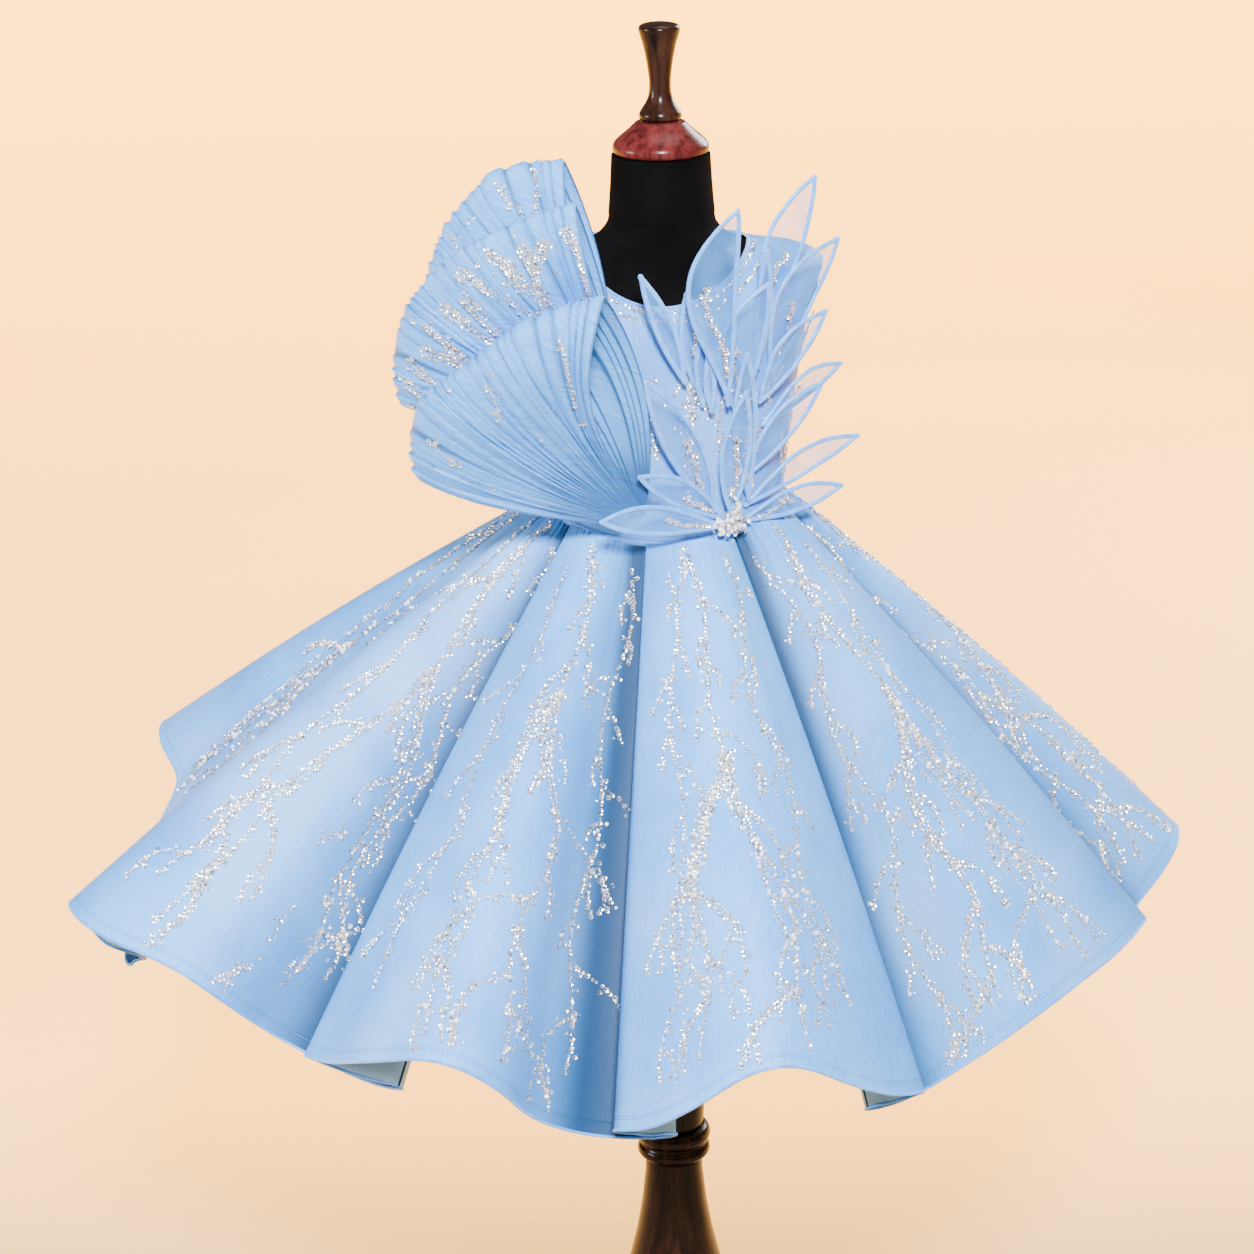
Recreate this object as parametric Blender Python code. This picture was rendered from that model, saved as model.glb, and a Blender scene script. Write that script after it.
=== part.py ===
"""A child's party dress on a limbless dress form, modelled piece by piece.

World frame: metres, +Z up, the form's axis on Z, the floor at Z = 0, the front of the
dress towards -Y and the viewer's right towards +X. Tables are in millimetres and degrees.
"""
import bpy
import bmesh
import numpy as np

MM = 0.001

# cloth
WALL = 1.5                 # thickness of bodice and skirt cloth
EASE = 1.2                 # room between the form and the bodice
SHOULDER_EASE = 1.0        # more room at the shoulders
LOOP_WALL = 1.2            # thickness of the tucked loops
LEAF_WEB = 1.0             # thickness of a leaf's sheer cloth
LEAF_PIPING = 2.6          # thickness of the piping round a leaf
LEAF_BORDER = 3.6          # width of that piping

# dress form: rings from the hips to the neck
# name, half width, side height, front depth, front height, back depth, back height
FORM_RINGS = (
    ("underside", 66.0, 690.0, 56.0, 690.0, 58.0, 690.0),
    ("hip edge", 84.0, 696.0, 72.0, 696.0, 76.0, 696.0),
    ("hip", 90.0, 716.0, 77.0, 716.0, 82.0, 716.0),
    ("high hip", 89.0, 752.0, 75.0, 752.0, 78.0, 752.0),
    ("waist", 85.0, 803.0, 69.5, 789.0, 69.5, 800.0),
    ("midriff", 86.6, 830.0, 71.5, 822.0, 71.0, 828.0),
    ("ribs", 90.6, 864.0, 75.0, 858.0, 74.0, 862.0),
    ("chest", 96.2, 903.0, 78.0, 893.0, 77.0, 900.0),
    ("underarm", 102.0, 930.0, 79.5, 917.0, 77.5, 926.0),
    ("arm cap", 111.0, 957.0, 79.8, 930.0, 77.0, 940.0),
    ("shoulder tip", 113.0, 979.0, 79.0, 941.0, 76.0, 952.0),
    ("shoulder", 96.0, 987.5, 76.0, 952.0, 73.0, 964.0),
    ("strap", 76.0, 990.5, 69.5, 966.0, 67.0, 978.0),
    ("strap inner", 60.0, 993.0, 60.0, 980.0, 59.0, 988.0),
    ("neck slope", 47.0, 999.0, 48.0, 992.5, 49.0, 998.0),
    ("neck base", 39.5, 1008.0, 40.0, 1001.0, 41.0, 1007.0),
    ("neck", 38.6, 1013.0, 38.6, 1009.0, 38.8, 1012.0),
    ("neck middle", 36.8, 1034.0, 36.8, 1033.0, 36.8, 1034.0),
    ("neck top", 35.5, 1057.0, 35.5, 1057.0, 35.5, 1057.0),
)
RING_OF = {row[0]: number for number, row in enumerate(FORM_RINGS)}
FORM_TABLE = np.array([row[1:] for row in FORM_RINGS])

# bodice: how far the armhole bites into a panel, and where the neckline runs
ARMHOLE_BITE = 27.0        # degrees, front
ARMHOLE_BITE_BACK = 24.0
NECK_FRONT = 11.62         # ring number of the neckline at the centre front
NECK_BACK = 12.75          # ring number of the neckline at the centre back
STRAP_SHARE = 0.28         # share of a panel's top edge that is shoulder seam
PANEL_COLUMNS = (0.0, 0.15, 0.30, 0.44, 0.56, 0.65, 0.72, 0.79, 0.86, 0.93, 1.0)

# skirt laps: one flare laps over the next at each of these folds
# name, azimuth at the waist, azimuth at the hem, hem radius, cut length,
# flare on top (-1 the one after it, +1 the one before), lap at waist, lap at hem, roll at hem, spread
SKIRT_LAPS = (
    ("back left", -146.0, -150.0, 350.0, 420.0, -1, 12.0, 34.0, 7.0, 4.0),
    ("side left", -106.0, -115.0, 454.0, 440.0, -1, 12.0, 40.0, 7.0, 4.0),
    ("left tip", -76.0, -71.0, 460.0, 451.0, -1, 11.0, 84.0, 13.0, 12.0),
    ("left front", -48.0, -47.0, 350.0, 425.0, -1, 10.0, 30.0, 7.0, 24.0),
    ("front left", -8.0, -5.3, 325.0, 421.0, -1, 12.0, 6.0, 9.0, 12.0),
    ("front right", 31.0, 30.3, 336.0, 421.0, 1, 12.0, 8.0, 8.0, 10.0),
    ("right front", 72.0, 76.0, 363.0, 411.0, 1, 12.0, 46.0, 5.0, 10.0),
    ("side right", 108.0, 113.0, 380.0, 420.0, 1, 12.0, 40.0, 7.0, 4.0),
    ("back right", 146.0, 152.0, 352.0, 420.0, 1, 12.0, 34.0, 7.0, 4.0),
)
# skirt flares: the crest between one lap and the next
# name, azimuth at the waist, azimuth at the hem, hem radius, cut length
SKIRT_CRESTS = (
    ("skirt_flare_back_left", -124.0, -132.0, 398.0, 418.0),
    ("skirt_flare_side_left", -92.0, -101.0, 399.0, 410.0),
    ("skirt_flare_left", -62.0, -59.0, 403.0, 425.0),
    ("skirt_flare_left_front", -29.0, -25.0, 366.0, 406.0),
    ("skirt_flare_front", 12.0, 11.0, 360.0, 398.0),
    ("skirt_flare_right_front", 52.0, 54.0, 335.0, 404.0),
    ("skirt_flare_right", 90.0, 93.0, 392.0, 414.0),
    ("skirt_flare_back_right", 128.0, 133.0, 396.0, 422.0),
    ("skirt_flare_back", 180.0, 181.0, 385.0, 424.0),
)
SKIRT_WAIST_WIDTH = 90.9   # half width of the outermost fold's middle at the waist
SKIRT_WAIST_DEPTH = 75.6
SKIRT_TOP = 802.4          # height of the waist edge at the sides
WAIST_DIP = 13.8           # how much lower it runs at the centre front
SKIRT_BOW = 5.0            # how far a flare's middle bows outwards
WAIST_ROLL = 1.30          # radius of a fold at the waist
SEAM_STEP = 0.65           # how far each panel stops short of the middle of an inner fold
SLOPE = 0.7071             # sine of 45 degrees
SKIRT_ROWS = (0.0, 0.06, 0.16, 0.31, 0.48, 0.66, 0.84, 1.0)

# tucked loops, each a strip sewn into a half bow
# name, gather x, y, z, first and last angle of the sweep, ray length at five even angles,
# depth at first and last ray, lean forward, wrap backward, skew of the back layer, tucks,
# bow of the open end
LOOPS = (
    ("loop_lower", -12.0, -82.3, 801.0, 103.0, 170.0, (189.0, 186.0, 182.0, 188.0, 170.0),
     44.0, 28.0, 0.37, 0.58, 9.0, 22, 16.0),
    ("loop_middle", -19.0, -82.4, 870.0, 105.0, 175.0, (181.0, 182.0, 186.0, 184.0, 170.0),
     26.0, 24.0, 0.26, 0.90, 5.0, 22, 0.0),
    ("loop_upper", -30.0, -81.9, 915.0, 105.5, 174.0, (157.0, 165.0, 159.0, 150.0, 137.0),
     24.0, 22.0, 0.00, 2.10, 4.0, 18, 7.0),
)
LOOP_ROOT = 20.0           # ray length at which the gather begins
LOOP_GATHER = 1.25         # half of the depth at the gather
LOOP_TUCK = 1.1            # height of a tuck
LOOP_MOUTH = 0.40          # share of the sweep over which the open end bows apart
LOOP_BACK_BOW = 0.60        # bow of the back layer as a share of the front layer's
LOOP_STEPS = (0.0, 0.36, 0.70, 0.92, 1.0)

# organza leaves, from the lowest layer up
# name, base x, z, tip x, z, half width, bow to the left, fullest at this share, lift at the base
LEAVES = (
    ("leaf_outer_high", 72.9, 951.4, 107.4, 1049.6, 16.1, 6.3, 0.50, 0.00),
    ("leaf_slip", 65.4, 915.6, 72.8, 1003.2, 7.4, -1.1, 0.52, 0.75),
    ("leaf_outer_second", 73.3, 906.2, 124.4, 1002.8, 19.5, 12.4, 0.56, 0.50),
    ("leaf_outer_third", 65.6, 890.6, 116.0, 950.8, 13.9, 5.3, 0.52, 3.00),
    ("leaf_neck_inner", 49.7, 883.8, 73.5, 979.7, 18.6, 10.2, 0.54, 3.25),
    ("leaf_neck_mid", 26.6, 898.1, 16.2, 976.5, 10.1, -0.3, 0.50, 0.00),
    ("leaf_neck_left", 14.1, 911.8, -15.4, 991.7, 7.7, -1.4, 0.50, 6.75),
    ("leaf_chest_left", 26.5, 893.2, 27.1, 947.0, 6.3, 0.0, 0.50, 3.00),
    ("leaf_chest_slip", 31.8, 889.3, 31.1, 930.5, 4.9, 0.0, 0.50, 6.00),
    ("leaf_neck_large", 41.4, 894.5, 52.3, 1037.5, 19.4, 16.7, 0.62, 9.50),
    ("leaf_outer_under", 69.0, 871.1, 128.4, 905.4, 10.4, 4.7, 0.58, 0.00),
    ("leaf_outer_long", 55.2, 831.8, 113.5, 896.8, 12.9, 3.6, 0.55, 0.00),
    ("leaf_chest_right", 57.6, 816.5, 58.5, 931.0, 11.0, 2.5, 0.56, 2.50),
    ("leaf_waist_left", 33.7, 816.1, -13.1, 917.1, 13.8, -1.8, 0.48, 0.00),
    ("leaf_waist_mid", 43.0, 811.6, 57.7, 903.4, 12.4, 2.5, 0.50, 8.75),
    ("leaf_outer_fourth", 56.6, 812.0, 141.4, 850.1, 10.9, 5.8, 0.55, 0.50),
    ("leaf_outer_low", 53.7, 800.0, 129.5, 814.2, 10.5, 1.8, 0.56, 0.25),
    ("leaf_inner_up", 41.4, 804.8, -18.3, 847.6, 10.7, -2.8, 0.55, 2.50),
    ("leaf_inner_low", 41.1, 800.5, -45.4, 819.4, 11.7, -2.5, 0.60, 6.75),
)
LEAF_ROWS = (0.0, 0.10, 0.30, 0.52, 0.74, 0.91, 1.0)
LEAF_END = 0.9             # half width at the two pointed ends
LEAF_RISE = 0.085          # how far a leaf stands off further up, per millimetre of length
LEAF_SEAT = 0.4            # gap between a leaf's base and the bodice

# turned pieces: profiles as radius and height, top to bottom
FINIAL = ((0.0, 1150.6), (8.0, 1150.0), (13.6, 1148.6), (15.2, 1146.2), (14.4, 1143.0),
          (11.6, 1134.0), (9.4, 1123.0), (7.9, 1112.0), (7.6, 1106.0), (8.2, 1099.0),
          (10.2, 1094.0), (13.2, 1089.6), (15.2, 1086.4), (15.4, 1083.6), (14.2, 1081.4),
          (0.0, 1081.4))
NECK_CAP = ((0.0, 1081.1), (14.0, 1081.1), (17.5, 1080.4), (19.4, 1078.6), (23.2, 1074.8),
            (28.8, 1070.4), (33.0, 1066.6), (34.6, 1063.6), (34.9, 1061.2), (34.0, 1058.6),
            (32.0, 1057.3), (0.0, 1057.3))
POLE_COLLAR = ((0.0, 689.7), (40.0, 689.7), (42.0, 687.5), (41.0, 684.0), (33.0, 680.0),
               (30.0, 672.0), (27.0, 668.5), (0.0, 668.5))
POLE = ((0.0, 668.2), (20.0, 668.2), (20.0, 330.0), (27.5, 329.0), (30.3, 325.5), (30.3, 320.5),
        (27.0, 317.0), (25.4, 313.0), (24.6, 300.0), (23.6, 285.5), (0.0, 285.5))
POLE_RING = ((0.0, 285.2), (23.6, 285.2), (27.4, 283.2), (29.2, 279.4), (29.0, 275.0),
             (26.0, 271.4), (26.0, 269.6), (28.6, 266.8), (28.8, 262.6), (26.4, 259.4),
             (23.0, 258.6), (0.0, 258.6))
PEDESTAL = ((0.0, 258.3), (22.4, 258.3), (22.7, 245.0), (25.6, 218.0), (30.0, 192.0),
            (35.3, 169.0), (43.0, 140.0), (54.0, 108.0), (68.0, 78.0), (86.0, 54.0),
            (108.0, 37.0), (132.0, 26.0), (146.0, 20.0), (150.0, 14.0), (150.0, 4.0),
            (147.0, 0.0), (0.0, 0.0))
TURNED_SIDES = 20


def clear_scene():
    """Remove every object that the file opened with."""
    for item in list(bpy.data.objects):
        bpy.data.objects.remove(item, do_unlink=True)


def material(name, colour, roughness, metallic=0.0):
    """A plain Principled material in the piece's own colour."""
    made = bpy.data.materials.new(name)
    made.use_nodes = True
    shader = made.node_tree.nodes["Principled BSDF"]
    shader.inputs["Base Color"].default_value = (*colour, 1.0)
    shader.inputs["Roughness"].default_value = roughness
    shader.inputs["Metallic"].default_value = metallic
    return made


def smooth_step(share):
    """Ease from 0 to 1 with level ends."""
    share = np.clip(share, 0.0, 1.0)
    return share * share * (3.0 - 2.0 * share)


def curve_through(knots, values, at, period=None):
    """Cubic through the values at the knots, with slopes from each knot's neighbours."""
    knots = np.asarray(knots, float)
    values = np.asarray(values, float)
    at = np.asarray(at, float)
    if period is not None:
        rise = period[1]
        knots = np.concatenate([knots[-2:] - period[0], knots, knots[:2] + period[0]])
        values = np.concatenate([values[-2:] - rise, values, values[:2] + rise])
    slopes = np.gradient(values, knots, axis=0)
    cell = np.clip(np.searchsorted(knots, at, side="right") - 1, 0, len(knots) - 2)
    width = knots[cell + 1] - knots[cell]
    t = (at - knots[cell]) / width
    if values.ndim > 1:
        t = t[..., None]
        width = width[..., None]
    start = (1.0 + 2.0 * t) * (1.0 - t) ** 2
    start_slope = t * (1.0 - t) ** 2 * width
    end = t * t * (3.0 - 2.0 * t)
    end_slope = t * t * (t - 1.0) * width
    return (start * values[cell] + start_slope * slopes[cell]
            + end * values[cell + 1] + end_slope * slopes[cell + 1])


def grid_normals(points):
    """Unit normals of a grid of points, from the neighbours across and along."""
    across = np.gradient(points, axis=1)
    along = np.gradient(points, axis=0)
    normals = np.cross(across, along)
    return normals / np.linalg.norm(normals, axis=2, keepdims=True)


def form_point(ring, azimuth):
    """Point of the form's surface at a ring number and an azimuth in radians (mm)."""
    ring, azimuth = np.broadcast_arrays(np.asarray(ring, float), np.asarray(azimuth, float))
    row = curve_through(np.arange(len(FORM_TABLE)), FORM_TABLE, ring)
    sine = np.sin(azimuth)
    cosine = np.cos(azimuth)
    front = cosine > 0.0
    depth = np.where(front, row[..., 2], row[..., 4])
    mid_height = np.where(front, row[..., 3], row[..., 5])
    height = mid_height + (row[..., 1] - mid_height) * sine * sine
    return np.stack([row[..., 0] * sine, -depth * cosine, height], axis=-1)


def form_normal(ring, azimuth):
    """Outward unit normal of the form's surface."""
    step = 0.01
    around = form_point(ring, azimuth + step) - form_point(ring, azimuth - step)
    up = form_point(ring + step, azimuth) - form_point(ring - step, azimuth)
    normal = np.cross(around, up)
    return normal / np.linalg.norm(normal, axis=-1, keepdims=True)


def finish(name, mesh_data, paint, smooth=True):
    """Put a bmesh into a named object with its material."""
    mesh = bpy.data.meshes.new(name)
    bmesh.ops.recalc_face_normals(mesh_data, faces=mesh_data.faces[:])
    mesh_data.to_mesh(mesh)
    mesh_data.free()
    piece = bpy.data.objects.new(name, mesh)
    bpy.context.scene.collection.objects.link(piece)
    piece.data.materials.append(paint)
    if smooth:
        mesh.shade_smooth()
        mesh.set_sharp_from_angle(angle=np.radians(50.0))
    return piece


def wall(name, outer, inner, paint):
    """Closed wall between two grids of points of the same shape (mm)."""
    rows, columns = outer.shape[:2]
    mesh_data = bmesh.new()
    layers = []
    for grid in (outer, inner):
        layers.append([[mesh_data.verts.new(point * MM) for point in line] for line in grid])
    front, back = layers
    rising = np.linalg.norm(outer[1:, 1:] - outer[:-1, :-1], axis=2)
    falling = np.linalg.norm(outer[1:, :-1] - outer[:-1, 1:], axis=2)
    for row in range(rows - 1):
        for column in range(columns - 1):
            corners = ((row, column), (row, column + 1), (row + 1, column + 1), (row + 1, column))
            if rising[row, column] > falling[row, column]:
                corners = corners[1:] + corners[:1]
            for triangle in ((0, 1, 2), (0, 2, 3)):
                places = [corners[number] for number in triangle]
                mesh_data.faces.new([front[r][c] for r, c in places])
                mesh_data.faces.new([back[r][c] for r, c in reversed(places)])
    edge = [(0, c) for c in range(columns)]
    edge += [(r, columns - 1) for r in range(1, rows)]
    edge += [(rows - 1, c) for c in range(columns - 2, -1, -1)]
    edge += [(r, 0) for r in range(rows - 2, 0, -1)]
    for here, after in zip(edge, edge[1:] + edge[:1]):
        mesh_data.faces.new([front[after[0]][after[1]], front[here[0]][here[1]],
                             back[here[0]][here[1]], back[after[0]][after[1]]])
    return finish(name, mesh_data, paint)


def turned(name, profile, paint, sides=TURNED_SIDES):
    """Closed solid turned about Z from a profile of radius and height."""
    mesh_data = bmesh.new()
    angles = np.linspace(0.0, 2.0 * np.pi, sides, endpoint=False)
    rings = []
    for radius, height in profile:
        if radius == 0.0:
            rings.append([mesh_data.verts.new((0.0, 0.0, height * MM))])
            continue
        rings.append([mesh_data.verts.new((radius * np.cos(a) * MM, radius * np.sin(a) * MM, height * MM))
                      for a in angles])
    for upper, lower in zip(rings[:-1], rings[1:]):
        for number in range(sides):
            after = (number + 1) % sides
            if len(upper) == 1:
                mesh_data.faces.new((upper[0], lower[number], lower[after]))
            elif len(lower) == 1:
                mesh_data.faces.new((upper[number], lower[0], upper[after]))
            else:
                mesh_data.faces.new((upper[number], lower[number], lower[after], upper[after]))
    return finish(name, mesh_data, paint)


def make_form(paint):
    """Torso and neck: elliptical rings skinned into one closed body."""
    sides = 24
    azimuths = np.linspace(0.0, 2.0 * np.pi, sides, endpoint=False)
    mesh_data = bmesh.new()
    rings = []
    for number in range(len(FORM_TABLE)):
        points = form_point(np.full(sides, float(number)), azimuths) * MM
        rings.append([mesh_data.verts.new(point) for point in points])
    for lower, upper in zip(rings[:-1], rings[1:]):
        for here in range(sides):
            after = (here + 1) % sides
            mesh_data.faces.new((lower[here], lower[after], upper[after], upper[here]))
    mesh_data.faces.new(rings[0][::-1])
    mesh_data.faces.new(rings[-1])
    return finish("form_torso", mesh_data, paint)


def panel_grid(first, last, neck_ring, bite, rows):
    """Ring numbers and azimuths of a bodice panel, from one side edge to the other.

    Rows run from the waist to the top edge. A side edge follows the side seam and then the
    armhole. The top edge is shoulder seam, neckline and shoulder seam. A panel that ends at
    the centre back has a plain edge there.
    """
    middle = 0.0 if abs(first + last) < 1.0 else np.copysign(180.0, first + last)
    half = np.array(PANEL_COLUMNS)
    across = np.concatenate([-half[:0:-1], half]) if middle == 0.0 else half
    waist = RING_OF["waist"]
    underarm = RING_OF["underarm"] - 0.1
    tip = float(RING_OF["shoulder tip"])
    inner = RING_OF["strap inner"] - 0.1
    climb = np.asarray(rows)
    side_ring = waist + climb * (tip - waist)
    hole = np.clip((side_ring - underarm) / (tip - underarm), 0.0, 1.0)
    side_angle = 90.0 - bite * np.sqrt(np.clip(1.0 - (2.0 * hole - 1.0) ** 2, 0.0, 1.0))
    reach = np.abs(across)
    strap = np.clip((reach - (1.0 - STRAP_SHARE)) / STRAP_SHARE, 0.0, 1.0)
    top_angle = 90.0 * np.clip(reach / (1.0 - STRAP_SHARE), 0.0, 1.0)
    top_ring = neck_ring + (inner - neck_ring) * np.sin(np.radians(top_angle)) ** 2
    top_ring = top_ring + (tip - inner) * strap
    blend = climb[:, None] ** 6
    angle = reach[None, :] * side_angle[:, None]
    angle = angle + blend * (top_angle - reach * side_angle[-1])[None, :]
    ring = side_ring[:, None] + blend * (top_ring - tip)[None, :]
    if middle == 0.0:
        angle = angle * np.sign(across)[None, :]
    else:
        angle = np.sign(middle) * (180.0 - angle)
    return ring, np.radians(angle)


def make_bodice(paint):
    """Front panel and two back panels that meet at the centre back."""
    rows = np.array([0.0, 0.15, 0.33, 0.50, 0.655, 0.70, 0.77, 0.84, 0.90, 0.95, 0.985, 1.0])
    seam = 0.0025
    panels = (
        ("bodice_front", -90.0, 90.0, NECK_FRONT, ARMHOLE_BITE),
        ("bodice_back_left", -180.0, -90.0, NECK_BACK, ARMHOLE_BITE_BACK),
        ("bodice_back_right", 90.0, 180.0, NECK_BACK, ARMHOLE_BITE_BACK),
    )
    for name, first, last, neck_ring, bite in panels:
        ring, angle = panel_grid(first, last, neck_ring, bite, rows)
        low = np.radians(first) + seam
        high = np.radians(last) - seam
        angle = np.clip(angle, low, high)
        normal = form_normal(ring, angle)
        base = form_point(ring, angle)
        near_tip = np.exp(-(ring - RING_OF["shoulder"]) ** 2)
        ease = (EASE + SHOULDER_EASE * near_tip)[..., None]
        wall(name, base + (ease + WALL) * normal, base + ease * normal, paint)


def skirt_tables():
    """Laps and crests in turn: waist azimuth, hem azimuth, hem radius and cut length."""
    rows = []
    for lap, crest in zip(SKIRT_LAPS, SKIRT_CRESTS):
        rows.append(lap[1:5])
        rows.append(crest[1:5])
    return np.array(rows)


def skirt_envelope(place, share):
    """Outermost surface of the skirt (mm).

    place counts laps (even) and crests (odd) round the waist. share runs from the waist (0)
    to the hem (1) along lines of the cut length, bowed a little outwards.
    """
    place, share = np.broadcast_arrays(np.asarray(place, float), np.asarray(share, float))
    rows = skirt_tables()
    turn = np.array([360.0, 360.0, 0.0, 0.0])
    values = curve_through(np.arange(len(rows)), rows, place, period=(len(rows), turn))
    waist = np.radians(values[..., 0])
    hem = np.radians(values[..., 1])
    facing = np.clip(np.cos(waist), 0.0, 1.0)
    top = np.stack([SKIRT_WAIST_WIDTH * np.sin(waist), -SKIRT_WAIST_DEPTH * np.cos(waist),
                    SKIRT_TOP - WAIST_DIP * facing ** 2], axis=-1)
    x = values[..., 2] * np.sin(hem)
    y = -values[..., 2] * np.cos(hem)
    flat = np.hypot(x - top[..., 0], y - top[..., 1])
    drop = np.sqrt(np.maximum(values[..., 3] ** 2 - flat ** 2, 1.0))
    end = np.stack([x, y, top[..., 2] - drop], axis=-1)
    line = end - top
    out = np.stack([np.sin(hem), -np.cos(hem), flat / drop], axis=-1)
    out = out / np.linalg.norm(out, axis=-1, keepdims=True)
    bow = SKIRT_BOW * np.sin(np.pi * share)
    return top + share[..., None] * line + bow[..., None] * out


def skirt_point(place, slide, depth, share):
    """A point slid sideways and sunk under the envelope by so many millimetres."""
    step = 0.02
    side = skirt_envelope(place + step, share) - skirt_envelope(place - step, share)
    pace = np.linalg.norm(side, axis=-1) / (2.0 * step)
    moved = place + slide / pace
    side = skirt_envelope(moved + step, share) - skirt_envelope(moved - step, share)
    down = skirt_envelope(moved, share + step) - skirt_envelope(moved, share - step)
    normal = np.cross(down, side)
    normal = normal / np.linalg.norm(normal, axis=-1, keepdims=True)
    return skirt_envelope(moved, share) - depth[..., None] * normal


def lap_values(lap, share):
    """Lap width, roll radius and depth of the cloth underneath, at each share."""
    width = lap[6] + (lap[7] - lap[6]) * share
    roll = WAIST_ROLL + (lap[8] - WAIST_ROLL) * share
    spread = lap[9] * share
    return width, roll, 4.0 * roll + spread


def half_flare(number, side, share):
    """Columns of one half of a flare, from its seam to the last column before its crest.

    side is -1 for the half after the lap before the crest, +1 for the half before the next.
    Each column gives its place, its slide and its depth at every share.
    """
    laps = len(SKIRT_LAPS)
    place = 2.0 * number + (0.0 if side < 0 else 2.0)
    lap = SKIRT_LAPS[number if side < 0 else (number + 1) % laps]
    width, roll, under = lap_values(lap, share)
    on_top = lap[5] == side
    away = float(-side)
    columns = []
    if on_top:
        columns.append((place, away * (width + roll), under - roll - SEAM_STEP))
        for angle in np.radians((45.0, 0.0)):
            columns.append((place, away * (width + roll * np.sin(angle)),
                            under - roll - roll * np.cos(angle)))
        columns.append((place, away * width * 0.5, 2.0 * roll + 0.5 * (under - 4.0 * roll)))
        for angle in np.radians((180.0, 120.0, 60.0, 0.0)):
            columns.append((place, -away * roll * np.sin(angle), roll * (1.0 - np.cos(angle))))
        for part in (0.28, 0.62):
            columns.append((place - side * part, 0.0 * share, 0.0 * share))
    else:
        columns.append((place, -away * (width + roll), under - roll + SEAM_STEP))
        columns.append((place, -away * (width + roll * SLOPE), under - roll + roll * SLOPE))
        for part in (0.0, 0.22, 0.44, 0.70):
            columns.append((place - side * part, -away * width * (1.0 - part) ** 2,
                            under * (1.0 - smooth_step((part - 0.28) / 0.66))))
    return columns


def flare_grid(number, share):
    """Middle surface of one flare's panel: rows from waist to hem, columns across."""
    before = half_flare(number, -1, share)
    after = half_flare(number, 1, share)[::-1]
    crest = [(2.0 * number + 1.0, 0.0 * share, 0.0 * share)]
    lines = [skirt_point(np.full_like(share, place), slide, depth, share)
             for place, slide, depth in before + crest + after]
    return np.stack(lines, axis=1)


def make_skirt(paint):
    """Nine flared panels, seamed in the inner folds."""
    share = np.array(SKIRT_ROWS)
    for number, crest in enumerate(SKIRT_CRESTS):
        middle = flare_grid(number, share)
        normal = -grid_normals(middle)
        wall(crest[0], middle + 0.5 * WALL * normal, middle - 0.5 * WALL * normal, paint)


def loop_point(loop, sweep, turn):
    """Middle surface of a tucked loop (mm).

    sweep runs from the first ray (0) to the last (1). turn runs from the gather along the
    front layer (0 to 1) and back along the hidden layer (1 to 2).
    """
    sweep, turn = np.broadcast_arrays(np.asarray(sweep, float), np.asarray(turn, float))
    x, y, z, first, last, lengths, deep, shallow, lean, wrap, skew = loop[1:12]
    out = np.where(turn <= 1.0, turn, 2.0 - turn)
    layer = np.where(turn <= 1.0, 1.0, -1.0)
    length = curve_through(np.linspace(0.0, 1.0, 5), lengths, sweep)
    angle = np.radians(first + (last - first) * sweep - skew * smooth_step(0.5 * turn))
    reach = LOOP_ROOT + (length - LOOP_ROOT) * out
    half = 0.5 * (deep + (shallow - deep) * sweep)
    swell = smooth_step(out / 0.75)
    cap = np.sqrt(np.clip(1.0 - (np.clip(out - 0.72, 0.0, 1.0) / 0.28) ** 2, 0.0, 1.0))
    open_by = (LOOP_GATHER + (half - LOOP_GATHER) * swell) * cap
    bow = loop[13] * np.sin(np.pi * out) * (1.0 - smooth_step(sweep / LOOP_MOUTH))
    side = reach * np.cos(angle) - np.where(layer > 0.0, bow, -LOOP_BACK_BOW * bow)
    rise = reach * np.sin(angle)
    back = y - lean * rise + wrap * side * side * MM - layer * open_by
    return np.stack([x + side, back, z + rise], axis=-1)


def make_loops(paint):
    """Half bows: a plain inner face and tucks raised in the outer face."""
    out = np.array(LOOP_STEPS)
    turn = np.concatenate([out, 2.0 - out[-2::-1]])
    for loop in LOOPS:
        tucks = loop[12]
        sweep = np.linspace(0.0, 1.0, 2 * tucks + 1)
        middle = loop_point(loop, sweep[None, :], turn[:, None])
        normal = -grid_normals(middle)
        reach = np.where(turn <= 1.0, turn, 2.0 - turn)
        height = LOOP_TUCK * (np.arange(len(sweep)) % 2)[None, :] * smooth_step(reach / 0.5)[:, None]
        outer = middle + (0.5 * LOOP_WALL + height)[..., None] * normal
        wall(loop[0], outer, middle - 0.5 * LOOP_WALL * normal, paint)


def bodice_place(x, height):
    """Ring number and azimuth of the bodice front at a place seen from the front (mm)."""
    rings = np.linspace(RING_OF["waist"], RING_OF["neck base"], 600)
    azimuth = 0.0
    for _ in range(12):
        heights = form_point(rings, azimuth)[:, 2]
        ring = np.interp(height, heights, rings)
        half_width = curve_through(np.arange(len(FORM_TABLE)), FORM_TABLE[:, 0], ring)
        azimuth = np.arcsin(np.clip(x / (half_width + EASE + WALL), -0.99, 0.99))
    return ring, azimuth


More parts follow.
